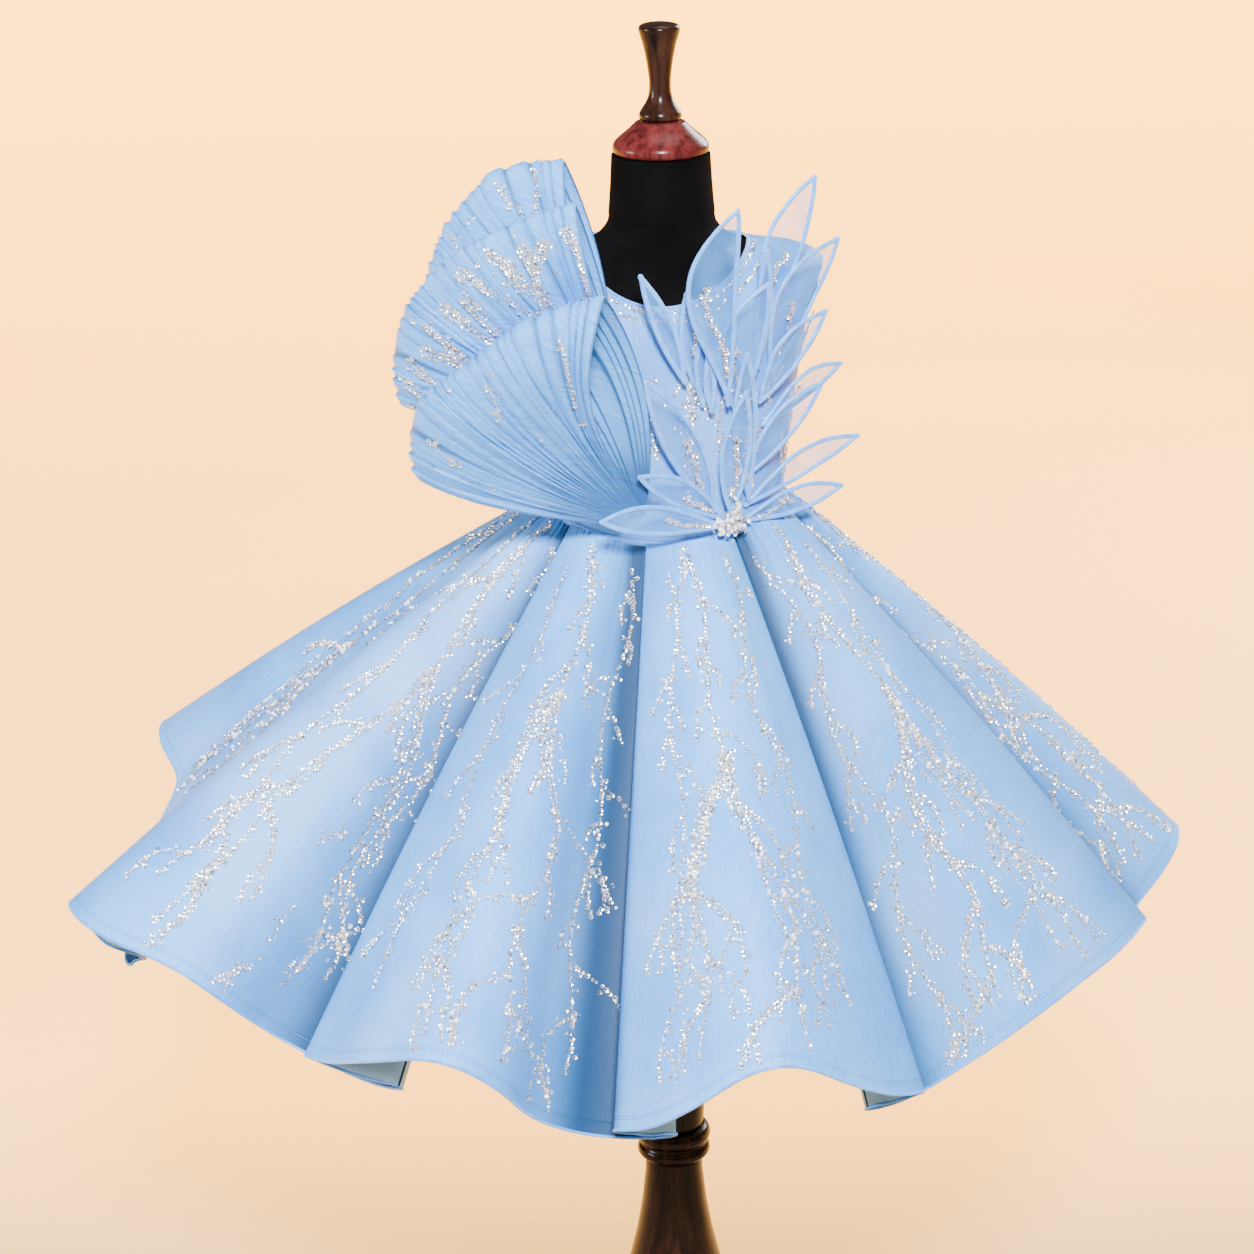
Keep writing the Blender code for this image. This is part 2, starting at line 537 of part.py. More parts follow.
def leaf_grids(leaf):
    """Upper and lower faces of a leaf: thick piping along both edges, a thin web between."""
    x, z, tip_x, tip_z, half_width, bow, fullest, lift = leaf[1:9]
    ring, azimuth = bodice_place(x, z)
    normal = form_normal(ring, azimuth)
    stand_off = EASE + WALL + LEAF_SEAT + 0.5 * LEAF_PIPING + lift
    base = form_point(ring, azimuth) + stand_off * normal
    run = np.hypot(tip_x - base[0], tip_z - base[2])
    tip_y = base[1] + (LEAF_RISE * run - (tip_x - base[0]) * normal[0]
                       - (tip_z - base[2]) * normal[2]) / normal[1]
    axis = np.array([tip_x, tip_y, tip_z]) - base
    side = np.cross(normal, axis)
    side = side / np.linalg.norm(side)
    face = np.cross(axis, side)
    face = face / np.linalg.norm(face)
    share = np.array(LEAF_ROWS)
    swell = np.sin(np.pi * share ** (np.log(0.5) / np.log(fullest)))
    width = LEAF_END + (half_width - LEAF_END) * swell ** 0.8
    inner = np.maximum(width - LEAF_BORDER, 0.35 * width)
    centre = base + share[:, None] * axis + (bow * swell)[:, None] * side
    across = np.stack([-width, -inner, inner, width], axis=1)
    half = 0.5 * np.array([LEAF_PIPING, LEAF_WEB, LEAF_WEB, LEAF_PIPING])
    middle = centre[:, None, :] + across[..., None] * side
    return middle + half[None, :, None] * face, middle - half[None, :, None] * face


def make_leaves(paint):
    """Piped leaves that spray out from the waist."""
    for leaf in LEAVES:
        upper, lower = leaf_grids(leaf)
        wall(leaf[0], upper, lower, paint)


def make_stand(paint, cap_paint):
    """Turned wooden pieces above and below the torso."""
    turned("finial", FINIAL, paint)
    turned("neck_cap", NECK_CAP, cap_paint)
    turned("pole_collar", POLE_COLLAR, paint)
    turned("pole", POLE, paint)
    turned("pole_ring", POLE_RING, paint)
    turned("pedestal", PEDESTAL, paint, sides=26)


def main():
    """Build every piece of the dress, the form and its stand."""
    clear_scene()
    satin = material("sky blue satin organza", (0.33, 0.60, 0.88), 0.45)
    organza = material("sky blue organza", (0.42, 0.67, 0.92), 0.40)
    jersey = material("black jersey", (0.010, 0.010, 0.011), 0.75)
    ebony = material("dark brown wood", (0.022, 0.008, 0.006), 0.22)
    mahogany = material("mahogany wood", (0.10, 0.018, 0.020), 0.30)
    make_form(jersey)
    make_bodice(satin)
    make_skirt(satin)
    make_loops(organza)
    make_leaves(organza)
    make_stand(ebony, mahogany)


main()
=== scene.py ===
"""A child's party dress on a limbless dress form, dressed in cloth, beads and wood.

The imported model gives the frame: metres, +Z up, the front of the dress towards -Y. Tables
are in millimetres and degrees. Cloth is a thin wall between two grids of points.
"""

import bpy
import numpy as np
from bpy.props import FloatProperty, FloatVectorProperty, IntProperty, PointerProperty
from mathutils import Matrix


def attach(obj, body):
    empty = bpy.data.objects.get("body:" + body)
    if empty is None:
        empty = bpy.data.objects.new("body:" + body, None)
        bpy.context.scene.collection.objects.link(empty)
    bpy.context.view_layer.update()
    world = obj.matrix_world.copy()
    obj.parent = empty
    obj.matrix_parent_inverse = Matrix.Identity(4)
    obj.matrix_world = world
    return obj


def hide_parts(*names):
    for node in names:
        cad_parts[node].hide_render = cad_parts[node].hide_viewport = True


bl_info = {
    "name": "Party Dress",
    "version": (1, 0, 0),
    "blender": (4, 5, 0),
    "location": "View3D > Sidebar > Dress",
    "description": "Party dress with loops, leaves and ring sequins on a turned dress form",
    "category": "Object",
}

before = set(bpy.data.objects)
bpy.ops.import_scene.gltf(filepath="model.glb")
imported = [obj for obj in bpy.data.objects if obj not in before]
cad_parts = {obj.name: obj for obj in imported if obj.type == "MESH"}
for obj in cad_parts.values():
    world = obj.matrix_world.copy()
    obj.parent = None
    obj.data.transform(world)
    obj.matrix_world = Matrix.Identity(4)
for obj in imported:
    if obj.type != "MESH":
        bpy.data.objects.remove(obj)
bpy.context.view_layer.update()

MM = 0.001
EASE = 1.2                 # room between the form and the bodice
SHOULDER_EASE = 1.0        # more room at the shoulders
WALL = 1.5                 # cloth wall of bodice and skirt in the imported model

# dress form: name, half width, side height, front depth, front height, back depth, back height
FORM_RINGS = (
    ("underside", 66.0, 690.0, 56.0, 690.0, 58.0, 690.0),
    ("hip edge", 84.0, 696.0, 72.0, 696.0, 76.0, 696.0),
    ("hip", 90.0, 716.0, 77.0, 716.0, 82.0, 716.0),
    ("high hip", 89.0, 752.0, 75.0, 752.0, 78.0, 752.0),
    ("waist", 85.0, 803.0, 69.5, 789.0, 69.5, 800.0),
    ("midriff", 86.6, 830.0, 71.5, 822.0, 71.0, 828.0),
    ("ribs", 90.6, 864.0, 75.0, 858.0, 74.0, 862.0),
    ("chest", 96.2, 903.0, 78.0, 893.0, 77.0, 900.0),
    ("underarm", 102.0, 930.0, 79.5, 917.0, 77.5, 926.0),
    ("arm cap", 111.0, 957.0, 79.8, 930.0, 77.0, 940.0),
    ("shoulder tip", 113.0, 979.0, 79.0, 941.0, 76.0, 952.0),
    ("shoulder", 96.0, 987.5, 76.0, 952.0, 73.0, 964.0),
    ("strap", 76.0, 990.5, 69.5, 966.0, 67.0, 978.0),
    ("strap inner", 60.0, 993.0, 60.0, 980.0, 59.0, 988.0),
    ("neck slope", 47.0, 999.0, 48.0, 992.5, 49.0, 998.0),
    ("neck base", 39.5, 1008.0, 40.0, 1001.0, 41.0, 1007.0),
    ("neck", 38.6, 1013.0, 38.6, 1009.0, 38.8, 1012.0),
    ("neck middle", 36.8, 1034.0, 36.8, 1033.0, 36.8, 1034.0),
    ("neck top", 35.5, 1057.0, 35.5, 1057.0, 35.5, 1057.0),
)
FORM_RADIUS = 80.0          # about the form's own, to turn angles into millimetres
SEAM_HALF_WIDTH = 1.1       # of the seams in the form's cover
SEAM_GROOVE = 0.7           # their depth
RING_OF = {row[0]: number for number, row in enumerate(FORM_RINGS)}
FORM_TABLE = np.array([row[1:] for row in FORM_RINGS])

ARMHOLE_BITE = 27.0         # degrees that an armhole cuts into the front
ARMHOLE_BITE_BACK = 24.0    # and into the back
NECK_FRONT = 11.62          # ring of the form at the middle of the neckline, front
NECK_BACK = 12.75           # and back
STRAP_SHARE = 0.28          # share of a half panel's top edge that is strap
SEAM_ROOM = 0.14            # degrees between a panel's edge and the seam line

# skirt laps: one flare laps over the next at each of these folds
# name, azimuth at the waist, azimuth at the hem, hem radius, cut length,
# flare on top (-1 the one after it, +1 the one before), lap at waist, lap at hem, roll at
# hem, spread
SKIRT_LAPS = (
    ("back left", -146.0, -150.0, 350.0, 420.0, -1, 12.0, 34.0, 7.0, 4.0),
    ("side left", -106.0, -115.0, 454.0, 440.0, -1, 12.0, 40.0, 7.0, 4.0),
    ("left tip", -76.0, -71.0, 460.0, 451.0, -1, 11.0, 84.0, 13.0, 12.0),
    ("left front", -48.0, -47.0, 350.0, 425.0, -1, 10.0, 30.0, 7.0, 24.0),
    ("front left", -8.0, -5.3, 325.0, 421.0, -1, 12.0, 6.0, 9.0, 12.0),
    ("front right", 31.0, 30.3, 336.0, 421.0, 1, 12.0, 8.0, 8.0, 10.0),
    ("right front", 72.0, 76.0, 363.0, 411.0, 1, 12.0, 46.0, 5.0, 10.0),
    ("side right", 108.0, 113.0, 380.0, 420.0, 1, 12.0, 40.0, 7.0, 4.0),
    ("back right", 146.0, 152.0, 352.0, 420.0, 1, 12.0, 34.0, 7.0, 4.0),
)
# skirt flares: the crest between one lap and the next
# name, azimuth at the waist, azimuth at the hem, hem radius, cut length
SKIRT_CRESTS = (
    ("skirt_flare_back_left", -124.0, -132.0, 398.0, 418.0),
    ("skirt_flare_side_left", -92.0, -101.0, 399.0, 410.0),
    ("skirt_flare_left", -62.0, -59.0, 403.0, 425.0),
    ("skirt_flare_left_front", -29.0, -25.0, 366.0, 406.0),
    ("skirt_flare_front", 12.0, 11.0, 360.0, 398.0),
    ("skirt_flare_right_front", 52.0, 54.0, 335.0, 404.0),
    ("skirt_flare_right", 90.0, 93.0, 392.0, 414.0),
    ("skirt_flare_back_right", 128.0, 133.0, 396.0, 422.0),
    ("skirt_flare_back", 180.0, 181.0, 385.0, 424.0),
)
SKIRT_WAIST_WIDTH = 90.9    # half width of the skirt's waist line
SKIRT_WAIST_DEPTH = 75.6    # its half depth
SKIRT_TOP = 802.4           # its height at sides and back
WAIST_DIP = 13.8            # how far it dips at the front
SKIRT_BOW = 5.0             # how far a flare bows out between waist and hem
WAIST_ROLL = 1.30           # radius of a fold at the waist
SEAM_STEP = 0.65            # half the step between two flares where they meet
SLOPE = 0.7071              # sine of 45 degrees

# tucked loops, each a strip sewn into a half bow
# name, gather x, y, z, first and last angle of the sweep, ray length at five even angles,
# depth at first and last ray, lean forward, wrap backward, skew of the back layer, tucks,
# bow of the open end
LOOPS = (
    ("loop_lower", -12.0, -82.3, 801.0, 103.0, 170.0, (189.0, 186.0, 182.0, 188.0, 170.0),
     44.0, 28.0, 0.37, 0.58, 9.0, 22, 16.0),
    ("loop_middle", -19.0, -82.4, 870.0, 105.0, 175.0, (181.0, 182.0, 186.0, 184.0, 170.0),
     26.0, 24.0, 0.26, 0.90, 5.0, 22, 0.0),
    ("loop_upper", -30.0, -81.9, 915.0, 105.5, 174.0, (157.0, 165.0, 159.0, 150.0, 137.0),
     24.0, 22.0, 0.00, 2.10, 4.0, 18, 7.0),
)
LOOP_ROOT = 20.0            # length of the rays at the gather
LOOP_MOUTH = 0.40           # share of the sweep in which the bow of the open end dies out
LOOP_BACK_BOW = 0.60        # share of that bow in the back layer, the other way
LOOP_GATHER = 1.25          # half the opening at the gather

# organza leaves, from the lowest layer up
# name, base x, z, tip x, z, half width, bow to the left, fullest at this share, lift at the base
LEAVES = (
    ("leaf_outer_high", 72.9, 951.4, 107.4, 1049.6, 16.1, 6.3, 0.50, 0.00),
    ("leaf_slip", 65.4, 915.6, 72.8, 1003.2, 7.4, -1.1, 0.52, 0.75),
    ("leaf_outer_second", 73.3, 906.2, 124.4, 1002.8, 19.5, 12.4, 0.56, 0.50),
    ("leaf_outer_third", 65.6, 890.6, 116.0, 950.8, 13.9, 5.3, 0.52, 3.00),
    ("leaf_neck_inner", 49.7, 883.8, 73.5, 979.7, 18.6, 10.2, 0.54, 3.25),
    ("leaf_neck_mid", 26.6, 898.1, 16.2, 976.5, 10.1, -0.3, 0.50, 0.00),
    ("leaf_neck_left", 14.1, 911.8, -15.4, 991.7, 7.7, -1.4, 0.50, 6.75),
    ("leaf_chest_left", 26.5, 893.2, 27.1, 947.0, 6.3, 0.0, 0.50, 3.00),
    ("leaf_chest_slip", 31.8, 889.3, 31.1, 930.5, 4.9, 0.0, 0.50, 6.00),
    ("leaf_neck_large", 41.4, 894.5, 52.3, 1037.5, 19.4, 16.7, 0.62, 9.50),
    ("leaf_outer_under", 69.0, 871.1, 128.4, 905.4, 10.4, 4.7, 0.58, 0.00),
    ("leaf_outer_long", 55.2, 831.8, 113.5, 896.8, 12.9, 3.6, 0.55, 0.00),
    ("leaf_chest_right", 57.6, 816.5, 58.5, 931.0, 11.0, 2.5, 0.56, 2.50),
    ("leaf_waist_left", 33.7, 816.1, -13.1, 917.1, 13.8, -1.8, 0.48, 0.00),
    ("leaf_waist_mid", 43.0, 811.6, 57.7, 903.4, 12.4, 2.5, 0.50, 8.75),
    ("leaf_outer_fourth", 56.6, 812.0, 141.4, 850.1, 10.9, 5.8, 0.55, 0.50),
    ("leaf_outer_low", 53.7, 800.0, 129.5, 814.2, 10.5, 1.8, 0.56, 0.25),
    ("leaf_inner_up", 41.4, 804.8, -18.3, 847.6, 10.7, -2.8, 0.55, 2.50),
    ("leaf_inner_low", 41.1, 800.5, -45.4, 819.4, 11.7, -2.5, 0.60, 6.75),
)
LEAF_END = 0.9              # half width at both ends
LEAF_RISE = 0.085           # rise off the bodice for each millimetre of length
LEAF_SEAT = 0.4             # gap to the bodice at the base
LEAF_PIPING = 2.6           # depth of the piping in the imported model

# turned pieces: profiles as radius and height, top to bottom
FINIAL = ((0.0, 1150.6), (8.0, 1150.0), (13.6, 1148.6), (15.2, 1146.2), (14.4, 1143.0),
          (11.6, 1134.0), (9.4, 1123.0), (7.9, 1112.0), (7.6, 1106.0), (8.2, 1099.0),
          (10.2, 1094.0), (13.2, 1089.6), (15.2, 1086.4), (15.4, 1083.6), (14.2, 1081.4),
          (0.0, 1081.4))
NECK_CAP = ((0.0, 1081.1), (14.0, 1081.1), (17.5, 1080.4), (19.4, 1078.6), (23.2, 1074.8),
            (28.8, 1070.4), (33.0, 1066.6), (34.6, 1063.6), (34.9, 1061.2), (34.0, 1058.6),
            (32.0, 1057.3), (0.0, 1057.3))
POLE_COLLAR = ((0.0, 689.7), (40.0, 689.7), (42.0, 687.5), (41.0, 684.0), (33.0, 680.0),
               (30.0, 672.0), (27.0, 668.5), (0.0, 668.5))
POLE = ((0.0, 668.2), (20.0, 668.2), (20.0, 330.0), (27.5, 329.0), (30.3, 325.5), (30.3, 320.5),
        (27.0, 317.0), (25.4, 313.0), (24.6, 300.0), (23.6, 285.5), (0.0, 285.5))
POLE_RING = ((0.0, 285.2), (23.6, 285.2), (27.4, 283.2), (29.2, 279.4), (29.0, 275.0),
             (26.0, 271.4), (26.0, 269.6), (28.6, 266.8), (28.8, 262.6), (26.4, 259.4),
             (23.0, 258.6), (0.0, 258.6))
PEDESTAL = ((0.0, 258.3), (22.4, 258.3), (22.7, 245.0), (25.6, 218.0), (30.0, 192.0),
            (35.3, 169.0), (43.0, 140.0), (54.0, 108.0), (68.0, 78.0), (86.0, 54.0),
            (108.0, 37.0), (132.0, 26.0), (146.0, 20.0), (150.0, 14.0), (150.0, 4.0),
            (147.0, 0.0), (0.0, 0.0))

CORNER_CUT = 1.6            # most that rounding takes from a side of a profile

# soft creases of a flare: place at waist and hem (crest 0, laps -1 and 1), share of the
# length where it starts and ends, width in millimetres, height in millimetres
CREASES = (
    (-0.62, -0.55, 0.00, 0.34, 5.0, -1.6),
    (-0.44, -0.30, 0.00, 0.52, 9.0, 1.9),
    (-0.27, -0.08, 0.02, 0.27, 4.5, -1.4),
    (-0.12, 0.05, 0.00, 0.71, 12.0, 2.3),
    (0.06, 0.17, 0.03, 0.30, 4.0, -1.5),
    (0.19, 0.34, 0.00, 0.44, 8.0, 1.7),
    (0.37, 0.45, 0.00, 0.22, 4.0, -1.3),
    (0.55, 0.62, 0.01, 0.58, 9.0, 1.8),
    (-0.35, -0.43, 0.48, 1.00, 16.0, -2.2),
    (0.10, -0.02, 0.42, 1.00, 20.0, 2.6),
    (0.48, 0.36, 0.55, 1.00, 14.0, -2.0),
    (-0.66, -0.70, 0.60, 1.00, 12.0, 1.6),
)
# heights of the tucks, in turn
TUCK_HEIGHTS = (1.0, 0.55, 1.35, 0.8, 1.1, 0.45, 1.25, 0.7, 1.4, 0.6, 0.95)
LEAF_TURNING = 0.0006       # cloth turned into the piping on each side of a leaf
HEM_STITCH = 0.0072         # height of the hem's stitches over its edge
STITCH_PITCH = 0.0034       # from stitch to stitch
STITCH_HALF_WIDTH = 0.00045
HEM_FOLD = 0.0092           # height of the turned-up cloth's end

RING_PITCH = 2.95           # from ring sequin to ring sequin along a row
ROW_PITCH = 2.6             # from row to row
DEGREE_LENGTH = 1.45        # millimetres on the bodice for each degree round it
RING_HEIGHT = 26.0          # and for each ring of the form up it

# camera: the photo's focal length and side in pixels, the aim's shift in pixels, tilt down and
# roll in degrees, the point it stands off from and how far, in metres
FOCAL = 3200.0
PHOTO_SIDE = 1254.0
AIM_SHIFT = 40.0
TILT = 19.0
ROLL = -0.75
MIDDLE = np.array([0.0, 0.0, 0.7])
STAND_OFF = 2.4

# studio lights: name, place in metres, size, power, colour
LIGHTS = (
    ("key_light", (0.16, -2.9, 2.8), 0.6, 480.0, (1.0, 0.99, 0.98)),
    ("side_light", (-2.8, -0.6, 1.5), 1.0, 90.0, (0.97, 0.98, 1.0)),
    ("top_light", (0.2, 0.5, 3.2), 1.6, 30.0, (1.0, 0.99, 0.97)),
    ("back_light", (1.8, 2.6, 2.0), 1.6, 150.0, (1.0, 0.98, 0.96)),
)
WORLD_COLOUR = (1.0, 0.94, 0.87, 1.0)
WORLD_STRENGTH = 0.17
FLOOR_EDGE = 40.0           # half side of the floor, in metres
FLOOR_GLOW = 8.4


def smooth_step(share):
    """Ease from 0 to 1 with level ends: three squares less two cubes."""
    share = np.clip(share, 0.0, 1.0)
    return share * share * (3.0 - 2.0 * share)


def arrays(*values):
    """Numbers or arrays brought to one shape."""
    return np.broadcast_arrays(*[np.asarray(value, float) for value in values])


def curve_through(knots, values, at, period=None):
    """Cubic through the values at the knots, with slopes from each knot's neighbours.

    A period is the length of one lap of the knots and the values' rise over it.
    """
    knots = np.asarray(knots, float)
    values = np.asarray(values, float)
    at = np.asarray(at, float)
    if period is not None:
        rise = period[1]
        knots = np.concatenate([knots[-2:] - period[0], knots, knots[:2] + period[0]])
        values = np.concatenate([values[-2:] - rise, values, values[:2] + rise])
    slopes = np.gradient(values, knots, axis=0)
    cell = np.clip(np.searchsorted(knots, at, side="right") - 1, 0, len(knots) - 2)
    width = knots[cell + 1] - knots[cell]
    t = (at - knots[cell]) / width
    if values.ndim > 1:
        t = t[..., None]
        width = width[..., None]
    start = (1.0 + 2.0 * t) * (1.0 - t) ** 2
    start_slope = t * (1.0 - t) ** 2 * width
    end = t * t * (3.0 - 2.0 * t)
    end_slope = t * t * (t - 1.0) * width
    return (start * values[cell] + start_slope * slopes[cell]
            + end * values[cell + 1] + end_slope * slopes[cell + 1])


def pick_column(values, column):
    """Cubic between stacked columns of values, at a fractional column number per point."""
    count = values.shape[0]
    slopes = np.gradient(values, axis=0)
    cell = np.clip(np.floor(column).astype(int), 0, count - 2)
    t = (column - cell)[None, ..., None]
    index = np.broadcast_to(cell[None, ..., None], (1,) + values.shape[1:])
    here = np.take_along_axis(values, index, 0)
    after = np.take_along_axis(values, index + 1, 0)
    slope = np.take_along_axis(slopes, index, 0)
    slope_after = np.take_along_axis(slopes, index + 1, 0)
    made = ((1.0 + 2.0 * t) * (1.0 - t) ** 2 * here + t * (1.0 - t) ** 2 * slope
            + t * t * (3.0 - 2.0 * t) * after + t * t * (t - 1.0) * slope_after)
    return made[0]


def unit(vectors):
    """Vectors brought to length one."""
    return vectors / np.maximum(np.linalg.norm(vectors, axis=-1, keepdims=True), 1e-12)


def grid_normals(points):
    """Unit normals of a grid of points: the step down crossed with the step across."""
    return unit(np.cross(np.gradient(points, axis=0), np.gradient(points, axis=1)))


class Pieces:
    """Vertices, faces, cut coordinates, shades and paint numbers gathered for one mesh."""

    def __init__(self):
        self.points = []
        self.faces = []
        self.cuts = []
        self.shades = []
        self.paints = []
        self.count = 0

    def add(self, points, faces, cut=None, paint=0, shade=None):
        """Add points (n, 3) in mm, faces (m, 3 or 4), cut coordinates (n, 2) in metres.

        Shade is the painted shade of each point: 1 at the bottom of a fold and 0 on open cloth.
        """
        self.points.append(points * MM)
        self.faces.extend((np.asarray(faces) + self.count).tolist())
        self.cuts.append(np.zeros((len(points), 2)) if cut is None else cut)
        self.shades.append(np.zeros(len(points)) if shade is None else shade)
        self.paints.append(np.full(len(faces), paint, int))
        self.count += len(points)

    def add_grid(self, points, wrap_rows=False, cut=None, turn=False):
        """Add a grid of points whose columns close round, and its rows too if wrapped."""
        rows, columns = points.shape[:2]
        row = np.arange(rows if wrap_rows else rows - 1)[:, None]
        column = np.arange(columns)[None, :]
        below = (row + 1) % rows
        after = (column + 1) % columns
        corners = [row * columns + column, below * columns + column,
                   below * columns + after, row * columns + after]
        faces = np.stack([np.broadcast_to(c, (row.size, column.size)) for c in corners], -1)
        faces = faces.reshape(-1, 4)
        flat_cut = None if cut is None else cut.reshape(-1, 2)
        self.add(points.reshape(-1, 3), faces[:, ::-1] if turn else faces, flat_cut)

    def add_wall(self, outer, inner, cut, inner_paint=0, shade=None):
        """Add a closed wall between two grids: outer face, inner face and the rim."""
        rows, columns = outer.shape[:2]
        number = np.arange(rows * columns).reshape(rows, columns)
        top = np.stack([number[:-1, :-1], number[1:, :-1], number[1:, 1:], number[:-1, 1:]], -1)
        top = top.reshape(-1, 4)
        edge = np.concatenate([number[:, 0], number[-1, 1:], number[-2::-1, -1],
                               number[0, -2:0:-1]])
        nxt = np.roll(edge, -1)
        total = rows * columns
        rim = np.stack([nxt, edge, edge + total, nxt + total], -1)
        faces = [top, top[:, ::-1] + total, rim]
        if np.sum(grid_normals(outer) * (outer - inner)) < 0.0:
            faces = [part[:, ::-1] for part in faces]
        paints = np.repeat([0, inner_paint, 0], [len(part) for part in faces])
        both = np.concatenate([outer.reshape(-1, 3), inner.reshape(-1, 3)])
        if shade is not None:
            shade = np.concatenate([shade.ravel()] * 2)
        self.add(both, np.concatenate(faces), np.concatenate([cut.reshape(-1, 2)] * 2), paints,
                 shade)

    def add_tube(self, path, wide, thick, face, sides=10, closed=False):
        """Add an ellipse carried along a path, wide across the face direction."""
        along = unit(np.roll(path, -1, 0) - np.roll(path, 1, 0) if closed
                     else np.gradient(path, axis=0))
        side = unit(np.cross(face, along))
        lift = np.cross(along, side)
        angle = np.linspace(0.0, 2.0 * np.pi, sides, endpoint=False)
        wide = np.broadcast_to(wide, len(path))[:, None, None]
        thick = np.broadcast_to(thick, len(path))[:, None, None]
        ring = (wide * np.cos(angle)[None, :, None] * side[:, None]
                + thick * np.sin(angle)[None, :, None] * lift[:, None])
        step = np.linalg.norm(np.diff(path, axis=0), axis=1)
        run = np.concatenate([[0.0], np.cumsum(step)]) * MM
        cut = np.stack(np.broadcast_arrays(run[:, None], (angle / 300.0)[None, :]), -1)
        grid = path[:, None] + ring
        if not closed:
            grid = np.concatenate([path[:1, None] + 0.02 * ring[:1], grid,
                                   path[-1:, None] + 0.02 * ring[-1:]])
            cut = np.concatenate([cut[:1], cut, cut[-1:]])
        self.add_grid(grid, wrap_rows=closed, cut=cut, turn=True)
        if not closed:
            last = self.count
            first = last - grid.shape[0] * sides
            self.faces.append(list(range(first + sides - 1, first - 1, -1)))
            self.faces.append(list(range(last - sides, last)))
            self.paints.append(np.zeros(2, int))

    def build(self, name, materials, nodes=(), angle=48.0):
        """Make the object, give it its paints, and let it stand for CAD nodes."""
        mesh = bpy.data.meshes.new(name)
        mesh.from_pydata(np.concatenate(self.points).tolist(), [], self.faces)
        layer = mesh.uv_layers.new(name="cut")
        corners = np.empty(len(mesh.loops), int)
        mesh.loops.foreach_get("vertex_index", corners)
        layer.data.foreach_set("uv", np.concatenate(self.cuts)[corners].ravel().astype(np.float32))
        # painted shade per point, read by the cloth paints to darken the folds
        shades = np.concatenate(self.shades)
        if shades.any():
            shade = mesh.attributes.new("shade", "FLOAT", "POINT")
            shade.data.foreach_set("value", shades.astype(np.float32))
        for paint in materials:
            mesh.materials.append(paint)
        mesh.polygons.foreach_set("material_index", np.concatenate(self.paints).astype(np.int32))
        mesh.shade_smooth()
        if angle:
            mesh.set_sharp_from_angle(angle=np.radians(angle))
        mesh.update()
        piece = bpy.data.objects.new(name, mesh)
        bpy.context.scene.collection.objects.link(piece)
        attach(piece, "root")
        if nodes:
            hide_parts(*nodes)
        return piece


def cut_coordinates(middle):
    """Run across the lowest row and distance up from it, in metres, for every grid point."""
    across = np.linalg.norm(np.diff(middle[-1], axis=0), axis=1)
    run = np.concatenate([[0.0], np.cumsum(across)])
    down = np.linalg.norm(np.diff(middle, axis=0), axis=2)
    rise = np.concatenate([np.cumsum(down[::-1], axis=0)[::-1], np.zeros((1, middle.shape[1]))])
    return np.stack([np.broadcast_to(run[None, :], rise.shape), rise], -1) * MM


def cut_size(middle):
    """Width, length and area in metres of the flat cloth that a grid of points was cut from."""
    across = np.linalg.norm(np.diff(middle, axis=1), axis=2).sum(1).max() * MM
    down = np.linalg.norm(np.diff(middle, axis=0), axis=2).sum(0).max() * MM
    one = middle[1:, 1:] - middle[:-1, :-1]
    two = middle[1:, :-1] - middle[:-1, 1:]
    area = 0.5 * np.linalg.norm(np.cross(one, two), axis=2).sum() * MM * MM
    return (float(across), float(down)), float(np.clip(area, 0.31 * across * down, across * down))


class Value:
    """A number inside a material; arithmetic on it adds Math nodes."""

    def __init__(self, paint, socket):
        self.paint = paint
        self.socket = socket

    def math(self, operation, *values):
        """Math node of an operation on values in this order."""
        node = self.paint.add("ShaderNodeMath", {"operation": operation},
                              dict(enumerate(values)))
        return Value(self.paint, node.outputs[0])

    def __add__(self, other):
        return self.math("ADD", self, other)

    def __radd__(self, other):
        return self.math("ADD", other, self)

    def __sub__(self, other):
        return self.math("SUBTRACT", self, other)

    def __rsub__(self, other):
        return self.math("SUBTRACT", other, self)

    def __mul__(self, other):
        return self.math("MULTIPLY", self, other)

    def __rmul__(self, other):
        return self.math("MULTIPLY", other, self)

    def __truediv__(self, other):
        return self.math("DIVIDE", self, other)

    def __rtruediv__(self, other):
        return self.math("DIVIDE", other, self)

    def absolute(self):
        """The number without its sign."""
        return self.math("ABSOLUTE", self)

    def fraction(self):
        """What is left of the number past its last whole one."""
        return self.math("FRACT", self)

    def below(self, limit):
        """1 where the number is below a limit, 0 elsewhere."""
        return self.math("LESS_THAN", self, limit)

    def band(self, low, high):
        """Smooth ramp from 0 at low to 1 at high."""
        node = self.paint.add("ShaderNodeMapRange", {"interpolation_type": "SMOOTHSTEP"},
                              {"Value": self, "From Min": low, "From Max": high})
        return Value(self.paint, node.outputs["Result"])


